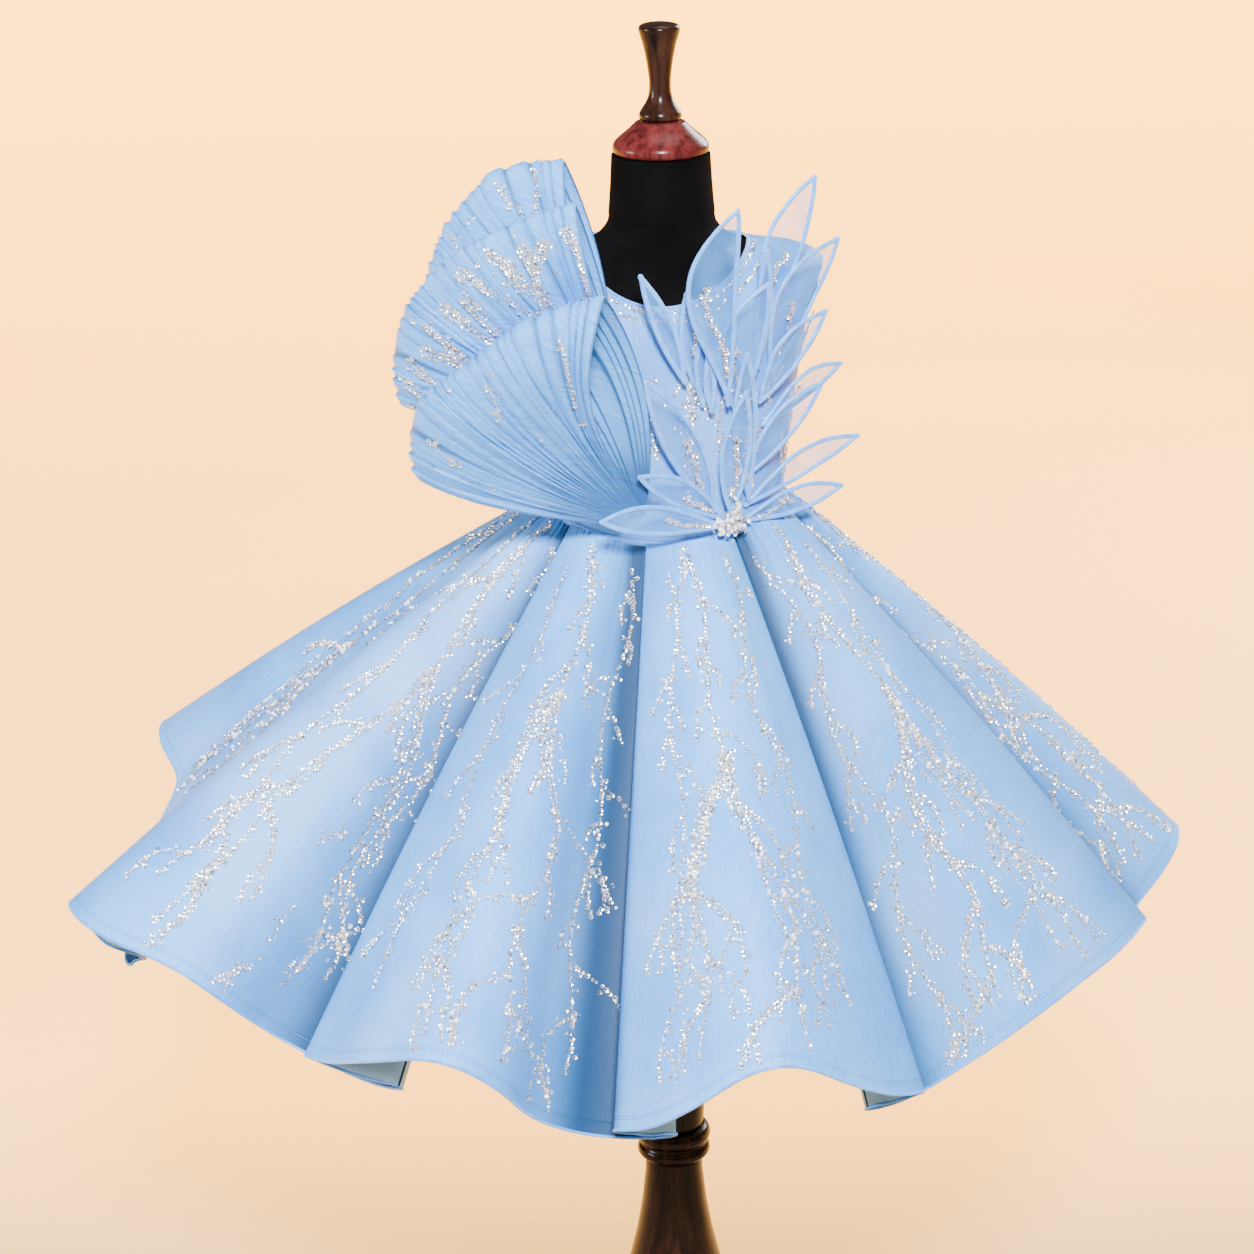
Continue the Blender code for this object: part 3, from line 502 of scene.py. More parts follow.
class Paint:
    """A material whose nodes are added by one method."""

    def __init__(self, name, roughness=0.5, metallic=0.0, **uniform):
        self.material = bpy.data.materials.new(name)
        self.material.use_nodes = True
        self.tree = self.material.node_tree
        self.surface = self.tree.nodes["Principled BSDF"]
        self.surface.inputs["Roughness"].default_value = roughness
        self.surface.inputs["Metallic"].default_value = metallic
        for key, value in uniform.items():
            self.surface.inputs[key.replace("_", " ")].default_value = value
        self.coordinates = None

    def add(self, kind, settings=None, values=None):
        """Add a node, set its settings and stops, then its sockets' values or links."""
        node = self.tree.nodes.new(kind)
        for key, value in (settings or {}).items():
            if key == "stops":
                ramp = node.color_ramp
                while len(ramp.elements) < len(value):
                    ramp.elements.new(0.5)
                for element, (place, colour) in zip(ramp.elements, value):
                    element.position = place
                    element.color = (*colour, 1.0)
            else:
                setattr(node, key, value)
        for key, value in (values or {}).items():
            if isinstance(value, Value):
                self.tree.links.new(value.socket, node.inputs[key])
            else:
                node.inputs[key].default_value = value
        return node

    def place(self, output="UV", scale=(1.0, 1.0, 1.0)):
        """Coordinates by name, scaled on each axis."""
        if self.coordinates is None:
            self.coordinates = self.add("ShaderNodeTexCoord")
        vector = Value(self, self.coordinates.outputs[output])
        node = self.add("ShaderNodeMapping", {}, {"Vector": vector, "Scale": scale})
        return Value(self, node.outputs["Vector"])

    def shade(self):
        """Painted shade of a place, from 0 on open cloth to 1 at the bottom of a fold."""
        node = self.add("ShaderNodeAttribute", {"attribute_name": "shade"})
        return Value(self, node.outputs["Fac"])

    def parts(self, vector):
        """The three numbers of a vector."""
        node = self.add("ShaderNodeSeparateXYZ", {}, {"Vector": vector})
        return [Value(self, node.outputs[number]) for number in range(3)]

    def noise(self, output, scale, detail=2.0, roughness=0.5):
        """Noise between 0 and 1 over coordinates by name, scaled on each axis."""
        values = {"Vector": self.place(output, scale), "Scale": 1.0, "Detail": detail,
                  "Roughness": roughness}
        node = self.add("ShaderNodeTexNoise", {}, values)
        return Value(self, node.outputs["Fac"])

    def wave(self, scale, distortion, direction, stretch=(1.0, 1.0, 1.0)):
        """Sine bands between 0 and 1 over the cut coordinates."""
        settings = {"wave_type": "BANDS", "bands_direction": direction}
        values = {"Vector": self.place("UV", stretch), "Scale": scale, "Distortion": distortion}
        node = self.add("ShaderNodeTexWave", settings, values)
        return Value(self, node.outputs["Fac"])

    def colour(self, value):
        """A plain colour as a value."""
        node = self.add("ShaderNodeRGB")
        node.outputs[0].default_value = (*value, 1.0)
        return Value(self, node.outputs[0])

    def mix(self, factor, first, second):
        """Mix of two colours."""
        first = self.colour(first) if isinstance(first, tuple) else first
        second = self.colour(second) if isinstance(second, tuple) else second
        node = self.add("ShaderNodeMix", {"data_type": "RGBA"}, {0: factor, 6: first, 7: second})
        return Value(self, node.outputs[2])

    def ramp(self, factor, stops):
        """Colour from a ramp."""
        node = self.add("ShaderNodeValToRGB", {"stops": stops}, {"Fac": factor})
        return Value(self, node.outputs["Color"])

    def bump(self, height, distance, strength=1.0):
        """Bump of a height in metres, sent to the surface's normal."""
        node = self.add("ShaderNodeBump", {}, {"Height": height, "Distance": distance,
                                               "Strength": strength})
        self.send("Normal", Value(self, node.outputs["Normal"]))

    def send(self, socket, value):
        """Link a value to one of the surface's sockets."""
        self.tree.links.new(value.socket, self.surface.inputs[socket])


def lighter(colour, amount):
    """A colour moved towards white (positive) or black (negative)."""
    target = 1.0 if amount > 0.0 else 0.0
    return tuple(c + (target - c) * abs(amount) for c in colour)


def satin_paint(name, colour, deep, hem=True):
    """Organza over satin: fine weave, slubs along the grain, cloudy tone, a stitched hem, painted
    shade in the folds.
    """
    roughness = 0.42
    paint = Paint(name, roughness=roughness, Specular_IOR_Level=0.12)
    grain = paint.noise("UV", (1700.0, 60.0, 1.0), detail=3.0)
    cross = paint.noise("UV", (90.0, 1500.0, 1.0), detail=2.0)
    cloud = paint.noise("Object", (14.0, 14.0, 9.0), detail=3.0)
    fleck = paint.noise("UV", (2600.0, 2600.0, 1.0), detail=1.0)
    haze = paint.noise("Object", (6.0, 6.0, 4.0), detail=3.0)
    tone = paint.mix(cloud.band(0.30, 0.72), deep, colour)
    tone = paint.mix(haze.band(0.48, 0.72) * 0.40, tone, lighter(colour, 0.30))
    tone = paint.mix(grain.band(0.42, 0.78) * 0.30, tone, lighter(colour, 0.45))
    tone = paint.mix(cross.band(0.55, 0.85) * 0.12, tone, lighter(deep, -0.25))
    height = grain * 0.5 + cross * 0.35 + fleck * 0.3
    if hem:
        u, v, _ = paint.parts(paint.place("UV"))
        line = (v - HEM_STITCH).absolute().below(STITCH_HALF_WIDTH)
        dash = (u / STITCH_PITCH).fraction().below(0.62)
        stitch = line * dash
        fold = (v - HEM_FOLD).absolute().band(0.0011, 0.0)
        tone = paint.mix(stitch * 0.65, tone, lighter(deep, -0.45))
        tone = paint.mix(fold * 0.35, tone, lighter(deep, -0.30))
        height = height - stitch * 1.6 - fold * 1.2
    # painted shade: the cloth turns darker, then deep blue, where the shade attribute marks a fold
    shade = paint.shade()
    tone = paint.mix(shade * 0.9, tone, lighter(deep, -0.66))
    tone = paint.mix(shade.band(0.55, 1.0) * 0.85, tone, lighter(deep, -0.90))
    paint.send("Base Color", tone)
    paint.send("Roughness", roughness + grain * 0.12 - fleck * 0.06)
    paint.bump(height, 0.0004, 0.55)
    return paint.material


def lining_paint(name, colour):
    """Plain pale lining with a fine twill."""
    paint = Paint(name, roughness=0.55, Sheen_Weight=0.2)
    twill = paint.wave(900.0, 0.4, "DIAGONAL")
    cloud = paint.noise("Object", (16.0, 16.0, 10.0), detail=2.0)
    paint.send("Base Color", paint.mix(cloud.band(0.3, 0.7), lighter(colour, -0.14), colour))
    paint.bump(twill, 0.0002, 0.4)
    return paint.material


def tucked_paint(name, colour, deep):
    """Sheer cloth in tucks: shiny ridges, streaks along the tucks, small crumples, painted shade
    between the tucks and at the gather.
    """
    paint = Paint(name, roughness=0.34, Sheen_Weight=0.06, Sheen_Roughness=0.3,
                  Specular_IOR_Level=0.3)
    streak = paint.noise("UV", (900.0, 26.0, 1.0), detail=4.0, roughness=0.6)
    crumple = paint.noise("UV", (170.0, 120.0, 1.0), detail=3.0, roughness=0.55)
    fine = paint.noise("UV", (2400.0, 2400.0, 1.0), detail=1.0)
    tone = paint.mix(streak.band(0.30, 0.62), deep, colour)
    tone = paint.mix(streak.band(0.58, 0.80) * 0.55, tone, lighter(colour, 0.5))
    tone = paint.mix(crumple.band(0.55, 0.75) * 0.25, tone, lighter(colour, 0.3))
    # painted shade: darker between the tucks, near the gather and on the back layer
    shade = paint.shade()
    tone = paint.mix(shade * 0.9, tone, lighter(deep, -0.62))
    tone = paint.mix(shade.band(0.6, 1.0) * 0.35, tone, lighter(deep, -0.80))
    paint.send("Base Color", tone)
    paint.send("Roughness", 0.30 + crumple * 0.16)
    paint.bump(streak * 1.2 + crumple * 1.4 + fine * 0.2, 0.0008, 0.7)
    return paint.material


def web_paint(name, colour, deep):
    """Very sheer organza: see-through, with a crossed weave and a cloudy shimmer."""
    paint = Paint(name, roughness=0.30, Sheen_Weight=0.3, Specular_IOR_Level=0.5)
    cloud = paint.noise("Object", (60.0, 60.0, 28.0), detail=3.0)
    weave = paint.noise("UV", (3000.0, 3000.0, 1.0), detail=1.0)
    crease = paint.noise("UV", (420.0, 50.0, 1.0), detail=3.0)
    tone = paint.mix(cloud.band(0.3, 0.7), deep, colour)
    paint.send("Base Color", paint.mix(crease.band(0.55, 0.8) * 0.5, tone, lighter(colour, 0.5)))
    paint.send("Alpha", 0.22 + crease.band(0.35, 0.85) * 0.22 + cloud * 0.08)
    paint.bump(crease + weave * 0.2, 0.0006, 0.5)
    return paint.material


def piping_paint(name, colour, deep):
    """Rolled cloth: twisted satin with a soft shine."""
    paint = Paint(name, roughness=0.32, Sheen_Weight=0.4, Specular_IOR_Level=0.55)
    twist = paint.wave(330.0, 1.5, "DIAGONAL", (1.0, 0.5, 1.0))
    cloud = paint.noise("Object", (120.0, 120.0, 120.0), detail=2.0)
    paint.send("Base Color", paint.mix(cloud.band(0.25, 0.65), deep, colour))
    paint.bump(twist + cloud, 0.00022, 0.5)
    return paint.material


def sequin_paint(name):
    """Silver foil, its colour patched dark and bright by noise: painted reflections and glints
    beside the real metal shine, with a faint blue cast.
    """
    paint = Paint(name, roughness=0.25, metallic=0.8, Coat_Weight=0.3)
    tint = paint.noise("Object", (420.0, 420.0, 420.0), detail=1.0)
    # painted reflections: dark blue-grey and bright silver patches in the foil's colour
    stops = ((0.30, (0.20, 0.25, 0.32)), (0.45, (0.86, 0.89, 0.93)), (0.60, (0.97, 0.97, 0.97)),
             (0.74, (0.36, 0.42, 0.50)))
    paint.send("Base Color", paint.ramp(tint, stops))
    paint.send("Roughness", 0.16 + tint * 0.2)
    return paint.material


def crystal_paint(name):
    """Milky glass beads."""
    paint = Paint(name, roughness=0.10, Coat_Weight=0.8, Specular_IOR_Level=0.7)
    tint = paint.noise("Object", (260.0, 260.0, 260.0), detail=1.0)
    stops = ((0.35, (0.45, 0.42, 0.42)), (0.50, (0.86, 0.87, 0.90)), (0.70, (0.97, 0.96, 0.95)))
    paint.send("Base Color", paint.ramp(tint, stops))
    paint.bump(tint, 0.0004, 0.6)
    return paint.material


def jersey_paint(name, colour):
    """Black knit: fine ribs up the form and lint."""
    paint = Paint(name, roughness=0.9, Specular_IOR_Level=0.02)
    rib = paint.wave(420.0, 0.6, "X")
    row = paint.wave(520.0, 0.6, "Y")
    lint = paint.noise("Object", (900.0, 900.0, 900.0), detail=2.0)
    cloud = paint.noise("Object", (18.0, 18.0, 18.0), detail=2.0)
    tone = paint.mix(cloud.band(0.3, 0.7), lighter(colour, -0.3), lighter(colour, 0.001))
    tone = paint.mix(lint.band(0.68, 0.80) * 0.25, tone, lighter(colour, 0.02))
    paint.send("Base Color", tone)
    paint.bump(rib + row * 0.7, 0.0003, 0.6)
    return paint.material


def wood_paint(name, colour, grain_colour):
    """Stained turned wood: long grain and fine pores under lacquer."""
    roughness = 0.20
    paint = Paint(name, roughness=roughness, Coat_Weight=0.06, Coat_Roughness=0.08,
                  Specular_IOR_Level=0.10)
    warp = paint.noise("Object", (9.0, 9.0, 2.2), detail=2.0)
    grain = paint.noise("Object", (150.0, 150.0, 6.0), detail=5.0, roughness=0.62)
    pore = paint.noise("Object", (900.0, 900.0, 34.0), detail=2.0)
    tone = paint.mix((grain * 0.75 + warp * 0.35).band(0.42, 0.72), colour, grain_colour)
    tone = paint.mix(pore.band(0.60, 0.72) * 0.5, tone, lighter(colour, -0.6))
    paint.send("Base Color", tone)
    paint.send("Roughness", roughness + grain * 0.10)
    paint.bump(pore * 0.6 + grain * 0.3, 0.0002, 0.25)
    return paint.material


def floor_paint(name, colour, glow):
    """Seamless pale paper, with a light of its own: weak in front, stronger far behind."""
    paint = Paint(name, roughness=0.9, Emission_Strength=glow, Specular_IOR_Level=0.1)
    _, far, _ = paint.parts(paint.place("Object"))
    cloud = paint.noise("Object", (1.5, 1.5, 1.5), detail=2.0)
    paint.send("Base Color", paint.mix(cloud.band(0.2, 0.8), colour, lighter(colour, 0.02)))
    front = paint.mix(far.band(-0.5, -2.5), (0.0, 0.0, 0.0), (0.11, 0.085, 0.060))
    near = paint.mix(far.band(-0.1, 0.7), front, (0.55, 0.235, 0.02))
    paint.send("Emission Color", paint.mix(far.band(0.7, 7.0), near, (1.0, 0.42, 0.05)))
    return paint.material


def form_point(ring, azimuth):
    """Form's surface: an ellipse per ring, its front and back halves of their own depth."""
    ring, azimuth = arrays(ring, azimuth)
    row = curve_through(np.arange(len(FORM_TABLE)), FORM_TABLE, ring)
    sine = np.sin(azimuth)
    cosine = np.cos(azimuth)
    front = cosine > 0.0
    depth = np.where(front, row[..., 2], row[..., 4])
    mid_height = np.where(front, row[..., 3], row[..., 5])
    height = mid_height + (row[..., 1] - mid_height) * sine * sine
    return np.stack([row[..., 0] * sine, -depth * cosine, height], axis=-1)


def form_normal(ring, azimuth):
    """Outward unit normal: the step round crossed with the step up."""
    step = 0.01
    around = form_point(ring, azimuth + step) - form_point(ring, azimuth - step)
    up = form_point(ring + step, azimuth) - form_point(ring - step, azimuth)
    return unit(np.cross(around, up))


def panel_grid(across, neck_ring, bite, rows):
    """Ring numbers and azimuths (degrees) of a bodice panel.

    Rows run from the waist to the top edge. The side edge follows the side seam and then the
    armhole, and the top edge is shoulder seam, neckline and shoulder seam.
    """
    waist = RING_OF["waist"]
    underarm = RING_OF["underarm"] - 0.1
    tip = float(RING_OF["shoulder tip"])
    inner = RING_OF["strap inner"] - 0.1
    side_ring = waist + rows * (tip - waist)
    hole = np.clip((side_ring - underarm) / (tip - underarm), 0.0, 1.0)
    side_angle = 90.0 - bite * np.sqrt(np.clip(1.0 - (2.0 * hole - 1.0) ** 2, 0.0, 1.0))
    reach = np.abs(across)
    strap = np.clip((reach - (1.0 - STRAP_SHARE)) / STRAP_SHARE, 0.0, 1.0)
    top_angle = 90.0 * np.clip(reach / (1.0 - STRAP_SHARE), 0.0, 1.0)
    top_ring = neck_ring + (inner - neck_ring) * np.sin(np.radians(top_angle)) ** 2
    top_ring = top_ring + (tip - inner) * strap
    blend = rows[:, None] ** 6
    angle = reach[None, :] * side_angle[:, None]
    angle = angle + blend * (top_angle - reach * side_angle[-1])[None, :]
    ring = side_ring[:, None] + blend * (top_ring - tip)[None, :]
    return ring, angle


def bodice_surface(ring, azimuth, lift):
    """Point off the form by the ease, more near the shoulder, plus a lift along its normal."""
    near_tip = np.exp(-(ring - RING_OF["shoulder"]) ** 2)
    away = EASE + SHOULDER_EASE * near_tip + lift
    return form_point(ring, azimuth) + away[..., None] * form_normal(ring, azimuth)


def skirt_envelope(place, share):
    """Outermost surface of the skirt: straight lines from waist to hem, bowed outwards.

    place counts laps (even) and crests (odd) round the waist; share runs from 0 to 1.
    """
    place, share = arrays(place, share)
    rows = np.array([row for pair in zip(SKIRT_LAPS, SKIRT_CRESTS) for row in
                     (pair[0][1:5], pair[1][1:5])])
    turn = np.array([360.0, 360.0, 0.0, 0.0])
    values = curve_through(np.arange(len(rows)), rows, place, period=(len(rows), turn))
    waist = np.radians(values[..., 0])
    hem = np.radians(values[..., 1])
    facing = np.clip(np.cos(waist), 0.0, 1.0)
    top = np.stack([SKIRT_WAIST_WIDTH * np.sin(waist), -SKIRT_WAIST_DEPTH * np.cos(waist),
                    SKIRT_TOP - WAIST_DIP * facing ** 2], axis=-1)
    x = values[..., 2] * np.sin(hem)
    y = -values[..., 2] * np.cos(hem)
    flat = np.hypot(x - top[..., 0], y - top[..., 1])
    drop = np.sqrt(np.maximum(values[..., 3] ** 2 - flat ** 2, 1.0))
    line = np.stack([x, y, top[..., 2] - drop], axis=-1) - top
    out = unit(np.stack([np.sin(hem), -np.cos(hem), flat / drop], axis=-1))
    bow = SKIRT_BOW * np.sin(np.pi * share)
    return top + share[..., None] * line + bow[..., None] * out


def skirt_point(place, slide, depth, share):
    """Envelope point slid sideways and sunk along the normal by so many millimetres."""
    step = 0.02
    side = skirt_envelope(place + step, share) - skirt_envelope(place - step, share)
    pace = np.linalg.norm(side, axis=-1) / (2.0 * step)
    moved = place + slide / pace
    side = skirt_envelope(moved + step, share) - skirt_envelope(moved - step, share)
    down = skirt_envelope(moved, share + step) - skirt_envelope(moved, share - step)
    normal = unit(np.cross(down, side))
    return skirt_envelope(moved, share) - depth[..., None] * normal


def half_flare(number, side, share):
    """Columns of half a flare, seam to crest: place, slide and depth at every share.

    The cloth on top turns back under itself in two round folds; the cloth beneath runs flat
    to the seam.
    """
    laps = len(SKIRT_LAPS)
    place = 2.0 * number + (0.0 if side < 0 else 2.0)
    lap = SKIRT_LAPS[number if side < 0 else (number + 1) % laps]
    width = lap[6] + (lap[7] - lap[6]) * share
    roll = WAIST_ROLL + (lap[8] - WAIST_ROLL) * share
    under = 4.0 * roll + lap[9] * share
    away = float(-side)
    columns = []
    if lap[5] == side:
        columns.append((place, away * (width + roll), under - roll - SEAM_STEP))
        for angle in np.radians((45.0, 0.0)):
            columns.append((place, away * (width + roll * np.sin(angle)),
                            under - roll - roll * np.cos(angle)))
        columns.append((place, away * width * 0.5, 2.0 * roll + 0.5 * (under - 4.0 * roll)))
        for angle in np.radians((180.0, 120.0, 60.0, 0.0)):
            columns.append((place, -away * roll * np.sin(angle), roll * (1.0 - np.cos(angle))))
        for part in (0.28, 0.62):
            columns.append((place - side * part, 0.0 * share, 0.0 * share))
    else:
        columns.append((place, -away * (width + roll), under - roll + SEAM_STEP))
        columns.append((place, -away * (width + roll * SLOPE), under - roll + roll * SLOPE))
        for part in (0.0, 0.22, 0.44, 0.70):
            columns.append((place - side * part, -away * width * (1.0 - part) ** 2,
                            under * (1.0 - smooth_step((part - 0.28) / 0.66))))
    return columns


def crease_height(number, offset, share, depth):
    """Height of a flare's creases (mm).

    Each crease is a bell across its line and eases in and out along it. They fade out near
    the folds. Small gathers under the waist seam fade out downwards.
    """
    total = np.zeros_like(offset)
    shift = 0.11 * np.sin(2.3 * number)
    for row, (top, low, first, last, width, high) in enumerate(CREASES):
        sway = 0.06 * np.sin(1.7 * row + 2.9 * number + 5.0 * share)
        line = top + (low - top) * share + shift + sway
        half = 14.0 + 62.0 * share
        gap = (offset - line) * half
        size = 0.55 + 0.45 * np.sin(1.3 * row + 1.9 * number + 0.6) ** 2
        fade = smooth_step((last - share) / 0.22)
        along = fade if first == 0.0 else smooth_step((share - first) / 0.10) * fade
        if last == 1.0:
            along = smooth_step((share - first) / 0.25)
        spread = width * (0.35 + 0.9 * share)
        total = total + high * size * along * np.exp(-(gap / spread) ** 2)
    gathers = 0.55 * np.sin(58.0 * offset + number) * np.exp(-share / 0.085)
    gathers = gathers + 0.35 * np.sin(37.0 * offset + 2.0 * number) * np.exp(-share / 0.16)
    window = smooth_step((0.92 - np.abs(offset)) / 0.30)
    return depth * (total * smooth_step(share / 0.05) + gathers) * window


def flare_columns(number, share):
    """Stacked columns of a whole flare: place, slide and depth at every share."""
    before = half_flare(number, -1, share)
    after = half_flare(number, 1, share)[::-1]
    crest = [(2.0 * number + 1.0, 0.0 * share, 0.0 * share)]
    zero = np.zeros_like(share)
    return np.stack([np.stack([place + zero, slide, depth], -1)
                     for place, slide, depth in before + crest + after])


def flare_surface(number, column, share, crease):
    """Middle surface of a flare at a fractional column and a share, creases included."""
    column, share = arrays(column, share)
    picked = pick_column(flare_columns(number, share), column)
    offset = picked[..., 0] - (2.0 * number + 1.0)
    height = crease_height(number, offset, share, crease)
    return skirt_point(picked[..., 0], picked[..., 1], picked[..., 2] - height, share)


def flare_shade(number, column, share):
    """Painted shade, 1 at the two folds where a flare meets its neighbours and 0 on open cloth.

    The gap from a fold is measured across the cloth, in millimetres. A dark line falls away
    within a few millimetres of it, and a paler band within a few centimetres.
    """
    column, share = arrays(column, share)
    picked = pick_column(flare_columns(number, share), column)
    offset = picked[..., 0] - (2.0 * number + 1.0)
    total = np.zeros_like(share)
    for side in (-1, 1):
        lap = SKIRT_LAPS[number if side < 0 else (number + 1) % len(SKIRT_LAPS)]
        roll = WAIST_ROLL + (lap[8] - WAIST_ROLL) * share
        on_top = lap[5] == side
        inward = (1.0 - side * offset) * (16.0 + 72.0 * share) - side * picked[..., 1]
        gap = np.maximum(inward + (roll if on_top else -roll), 0.0)
        line = (0.34 if on_top else 0.55) * np.exp(-gap / (4.0 + 8.0 * share))
        band = (0.34 if on_top else 0.66) * np.exp(-(gap / (11.0 + 42.0 * share)) ** 2)
        total = np.maximum(total, line + band)
    return np.clip(total, 0.0, 1.0)


def flare_steps(number, pace):
    """Fractional columns of a flare, about one pace (mm) apart at the hem."""
    count = flare_columns(number, np.array([1.0])).shape[0]
    knots = flare_surface(number, np.arange(count, dtype=float)[None, :], np.array([[1.0]]), 0.0)
    widths = np.linalg.norm(np.diff(knots[0], axis=0), axis=1)
    parts = np.clip(np.ceil(widths / pace).astype(int), 4, 30)
    steps = [number_at + np.arange(n) / n for number_at, n in enumerate(parts)]
    return np.concatenate(steps + [[float(count - 1)]])


def loop_point(loop, sweep, turn):
    """Middle surface of a loop: rays from the gather, out along the front and back behind."""
    sweep, turn = arrays(sweep, turn)
    x, y, z, first, last, lengths, deep, shallow, lean, wrap, skew = loop[1:12]
    out = np.where(turn <= 1.0, turn, 2.0 - turn)
    layer = np.where(turn <= 1.0, 1.0, -1.0)
    length = curve_through(np.linspace(0.0, 1.0, 5), lengths, sweep)
    angle = np.radians(first + (last - first) * sweep - skew * smooth_step(0.5 * turn))
    reach = LOOP_ROOT + (length - LOOP_ROOT) * out
    half = 0.5 * (deep + (shallow - deep) * sweep)
    swell = smooth_step(out / 0.75)
    cap = np.sqrt(np.clip(1.0 - (np.clip(out - 0.72, 0.0, 1.0) / 0.28) ** 2, 0.0, 1.0))
    open_by = (LOOP_GATHER + (half - LOOP_GATHER) * swell) * cap
    bow = loop[13] * np.sin(np.pi * out) * (1.0 - smooth_step(sweep / LOOP_MOUTH))
    side = reach * np.cos(angle) - np.where(layer > 0.0, bow, -LOOP_BACK_BOW * bow)
    rise = reach * np.sin(angle)
    back = y - lean * rise + wrap * side * side * MM - layer * open_by
    return np.stack([x + side, back, z + rise], axis=-1)


def tuck_phase(loop, sweep, turn):
    """Number of the tuck at a place and the share across it, uneven in width."""
    out = np.where(turn <= 1.0, turn, 2.0 - turn)
    warp = (0.62 * np.sin(9.0 * sweep + 1.3 * out) + 0.34 * np.sin(23.0 * sweep - 2.0 * out)
            + 0.20 * np.sin(47.0 * sweep + 3.0 * out))
    phase = sweep * loop[12] + warp * smooth_step((0.5 - np.abs(sweep - 0.5)) / 0.12)
    return np.clip(np.floor(phase).astype(int), 0, loop[12] - 1), phase - np.floor(phase)


def tuck_height(loop, sweep, turn):
    """Height of the tucks (mm): each rises quickly and falls slowly, none like the next."""
    out = np.where(turn <= 1.0, turn, 2.0 - turn)
    which, part = tuck_phase(loop, sweep, turn)
    size = np.array(TUCK_HEIGHTS)[(which * 4 + int(loop[1])) % len(TUCK_HEIGHTS)]
    rise = smooth_step(part / 0.16) * smooth_step((1.0 - part) / 0.9) ** 0.8
    fine = 0.13 * np.sin(6.0 * np.pi * part + 4.0 * out) * rise
    crumple = 0.34 * np.sin(29.0 * out + 9.0 * sweep + which) * np.sin(13.0 * out - 5.0 * which)
    swell = smooth_step(out / 0.40)
    return (size * rise + fine) * swell * 2.0 + crumple * rise * smooth_step(out / 0.5)


def tuck_shade(loop, sweep, turn):
    """Painted shade: 1 in the line between two tucks and near the gather, a little on the back
    layer, 0 on the ridges.
    """
    out = np.where(turn <= 1.0, turn, 2.0 - turn)
    _, part = tuck_phase(loop, sweep, turn)
    line = np.exp(-(part / 0.16) ** 2) + np.exp(-((1.0 - part) / 0.09) ** 2)
    gather = 0.85 * (1.0 - smooth_step(out / 0.50))
    behind = 0.30 * smooth_step((turn - 1.0) / 0.1)
    return np.clip(line * (0.7 + 0.3 * np.sin(37.0 * sweep) ** 2) + gather + behind, 0.0, 1.0)


def leaf_frame(leaf):
    """Base point, axis, sideways and facing directions of a leaf."""
    x, z, tip_x, tip_z, _, _, _, lift = leaf[1:9]
    rings = np.linspace(RING_OF["waist"], RING_OF["neck base"], 600)
    azimuth = 0.0
    for _ in range(12):
        ring = np.interp(z, form_point(rings, azimuth)[:, 2], rings)
        half_width = curve_through(np.arange(len(FORM_TABLE)), FORM_TABLE[:, 0], ring)
        azimuth = np.arcsin(np.clip(x / (half_width + EASE + WALL), -0.99, 0.99))
    normal = form_normal(ring, azimuth)
    stand_off = EASE + WALL + LEAF_SEAT + 0.5 * LEAF_PIPING + lift
    base = form_point(ring, azimuth) + stand_off * normal
    run = np.hypot(tip_x - base[0], tip_z - base[2])
    tip_y = base[1] + (LEAF_RISE * run - (tip_x - base[0]) * normal[0]
                       - (tip_z - base[2]) * normal[2]) / normal[1]
    axis = np.array([tip_x, tip_y, tip_z]) - base
    side = unit(np.cross(normal, axis))
    return base, axis, side, unit(np.cross(axis, side))


def leaf_point(leaf, across, share, inset=0.0):
    """Point of a leaf's flat: across from -1 to 1 between its curved edges, share along it."""
    half_width, bow, fullest = leaf[5:8]
    base, axis, side, face = leaf_frame(leaf)
    swell = np.sin(np.pi * share ** (np.log(0.5) / np.log(fullest)))
    width = LEAF_END + (half_width - LEAF_END) * np.abs(swell) ** 0.8
    width = np.maximum(width - inset, 0.25)
    centre = base + share[..., None] * axis + (bow * swell)[..., None] * side
    return centre + (across * width)[..., None] * side, face


def rings_mesh(name, spots, normals, sizes, seed, beads=None):
    """Joined ring sequins: a seven-sided cupped washer at each spot, each tilted its own way.

    Its outer edge stands a little higher than the edge of its hole. Beads are spots and sizes.
    """
    rng = np.random.default_rng(seed)
    count = len(spots)
    sides = 7
    angle = np.linspace(0.0, 2.0 * np.pi, sides, endpoint=False)
    section = ((0.50, 0.14), (0.20, 0.0))
    ring = np.concatenate([np.stack([r * np.cos(angle), r * np.sin(angle), h + 0 * angle], -1)
                           for r, h in section])
    tilt = unit(normals + rng.normal(0.0, 0.20, (count, 3)))
    guide = unit(rng.normal(0.0, 1.0, (count, 3)))
    one = unit(np.cross(tilt, guide))
    two = np.cross(tilt, one)
    basis = np.stack([one, two, tilt], axis=1)
    scaled = np.repeat(sizes, len(ring))[:, None] * np.tile(ring, (count, 1))
    points = np.einsum("ni,nij->nj", scaled, np.repeat(basis, len(ring), axis=0))
    points = points + np.repeat(spots, len(ring), axis=0)
    here = np.arange(sides)
    after = (here + 1) % sides
    faces = np.stack([here, after, sides + after, sides + here], -1)
    faces = (faces[None] + (np.arange(count) * len(ring))[:, None, None]).reshape(-1, 4)
    pieces = Pieces()
    pieces.add(points, faces)
    if beads is not None:
        add_beads(pieces, *beads)
    pieces.build(name, [paint("sequin"), paint("crystal")], angle=None)


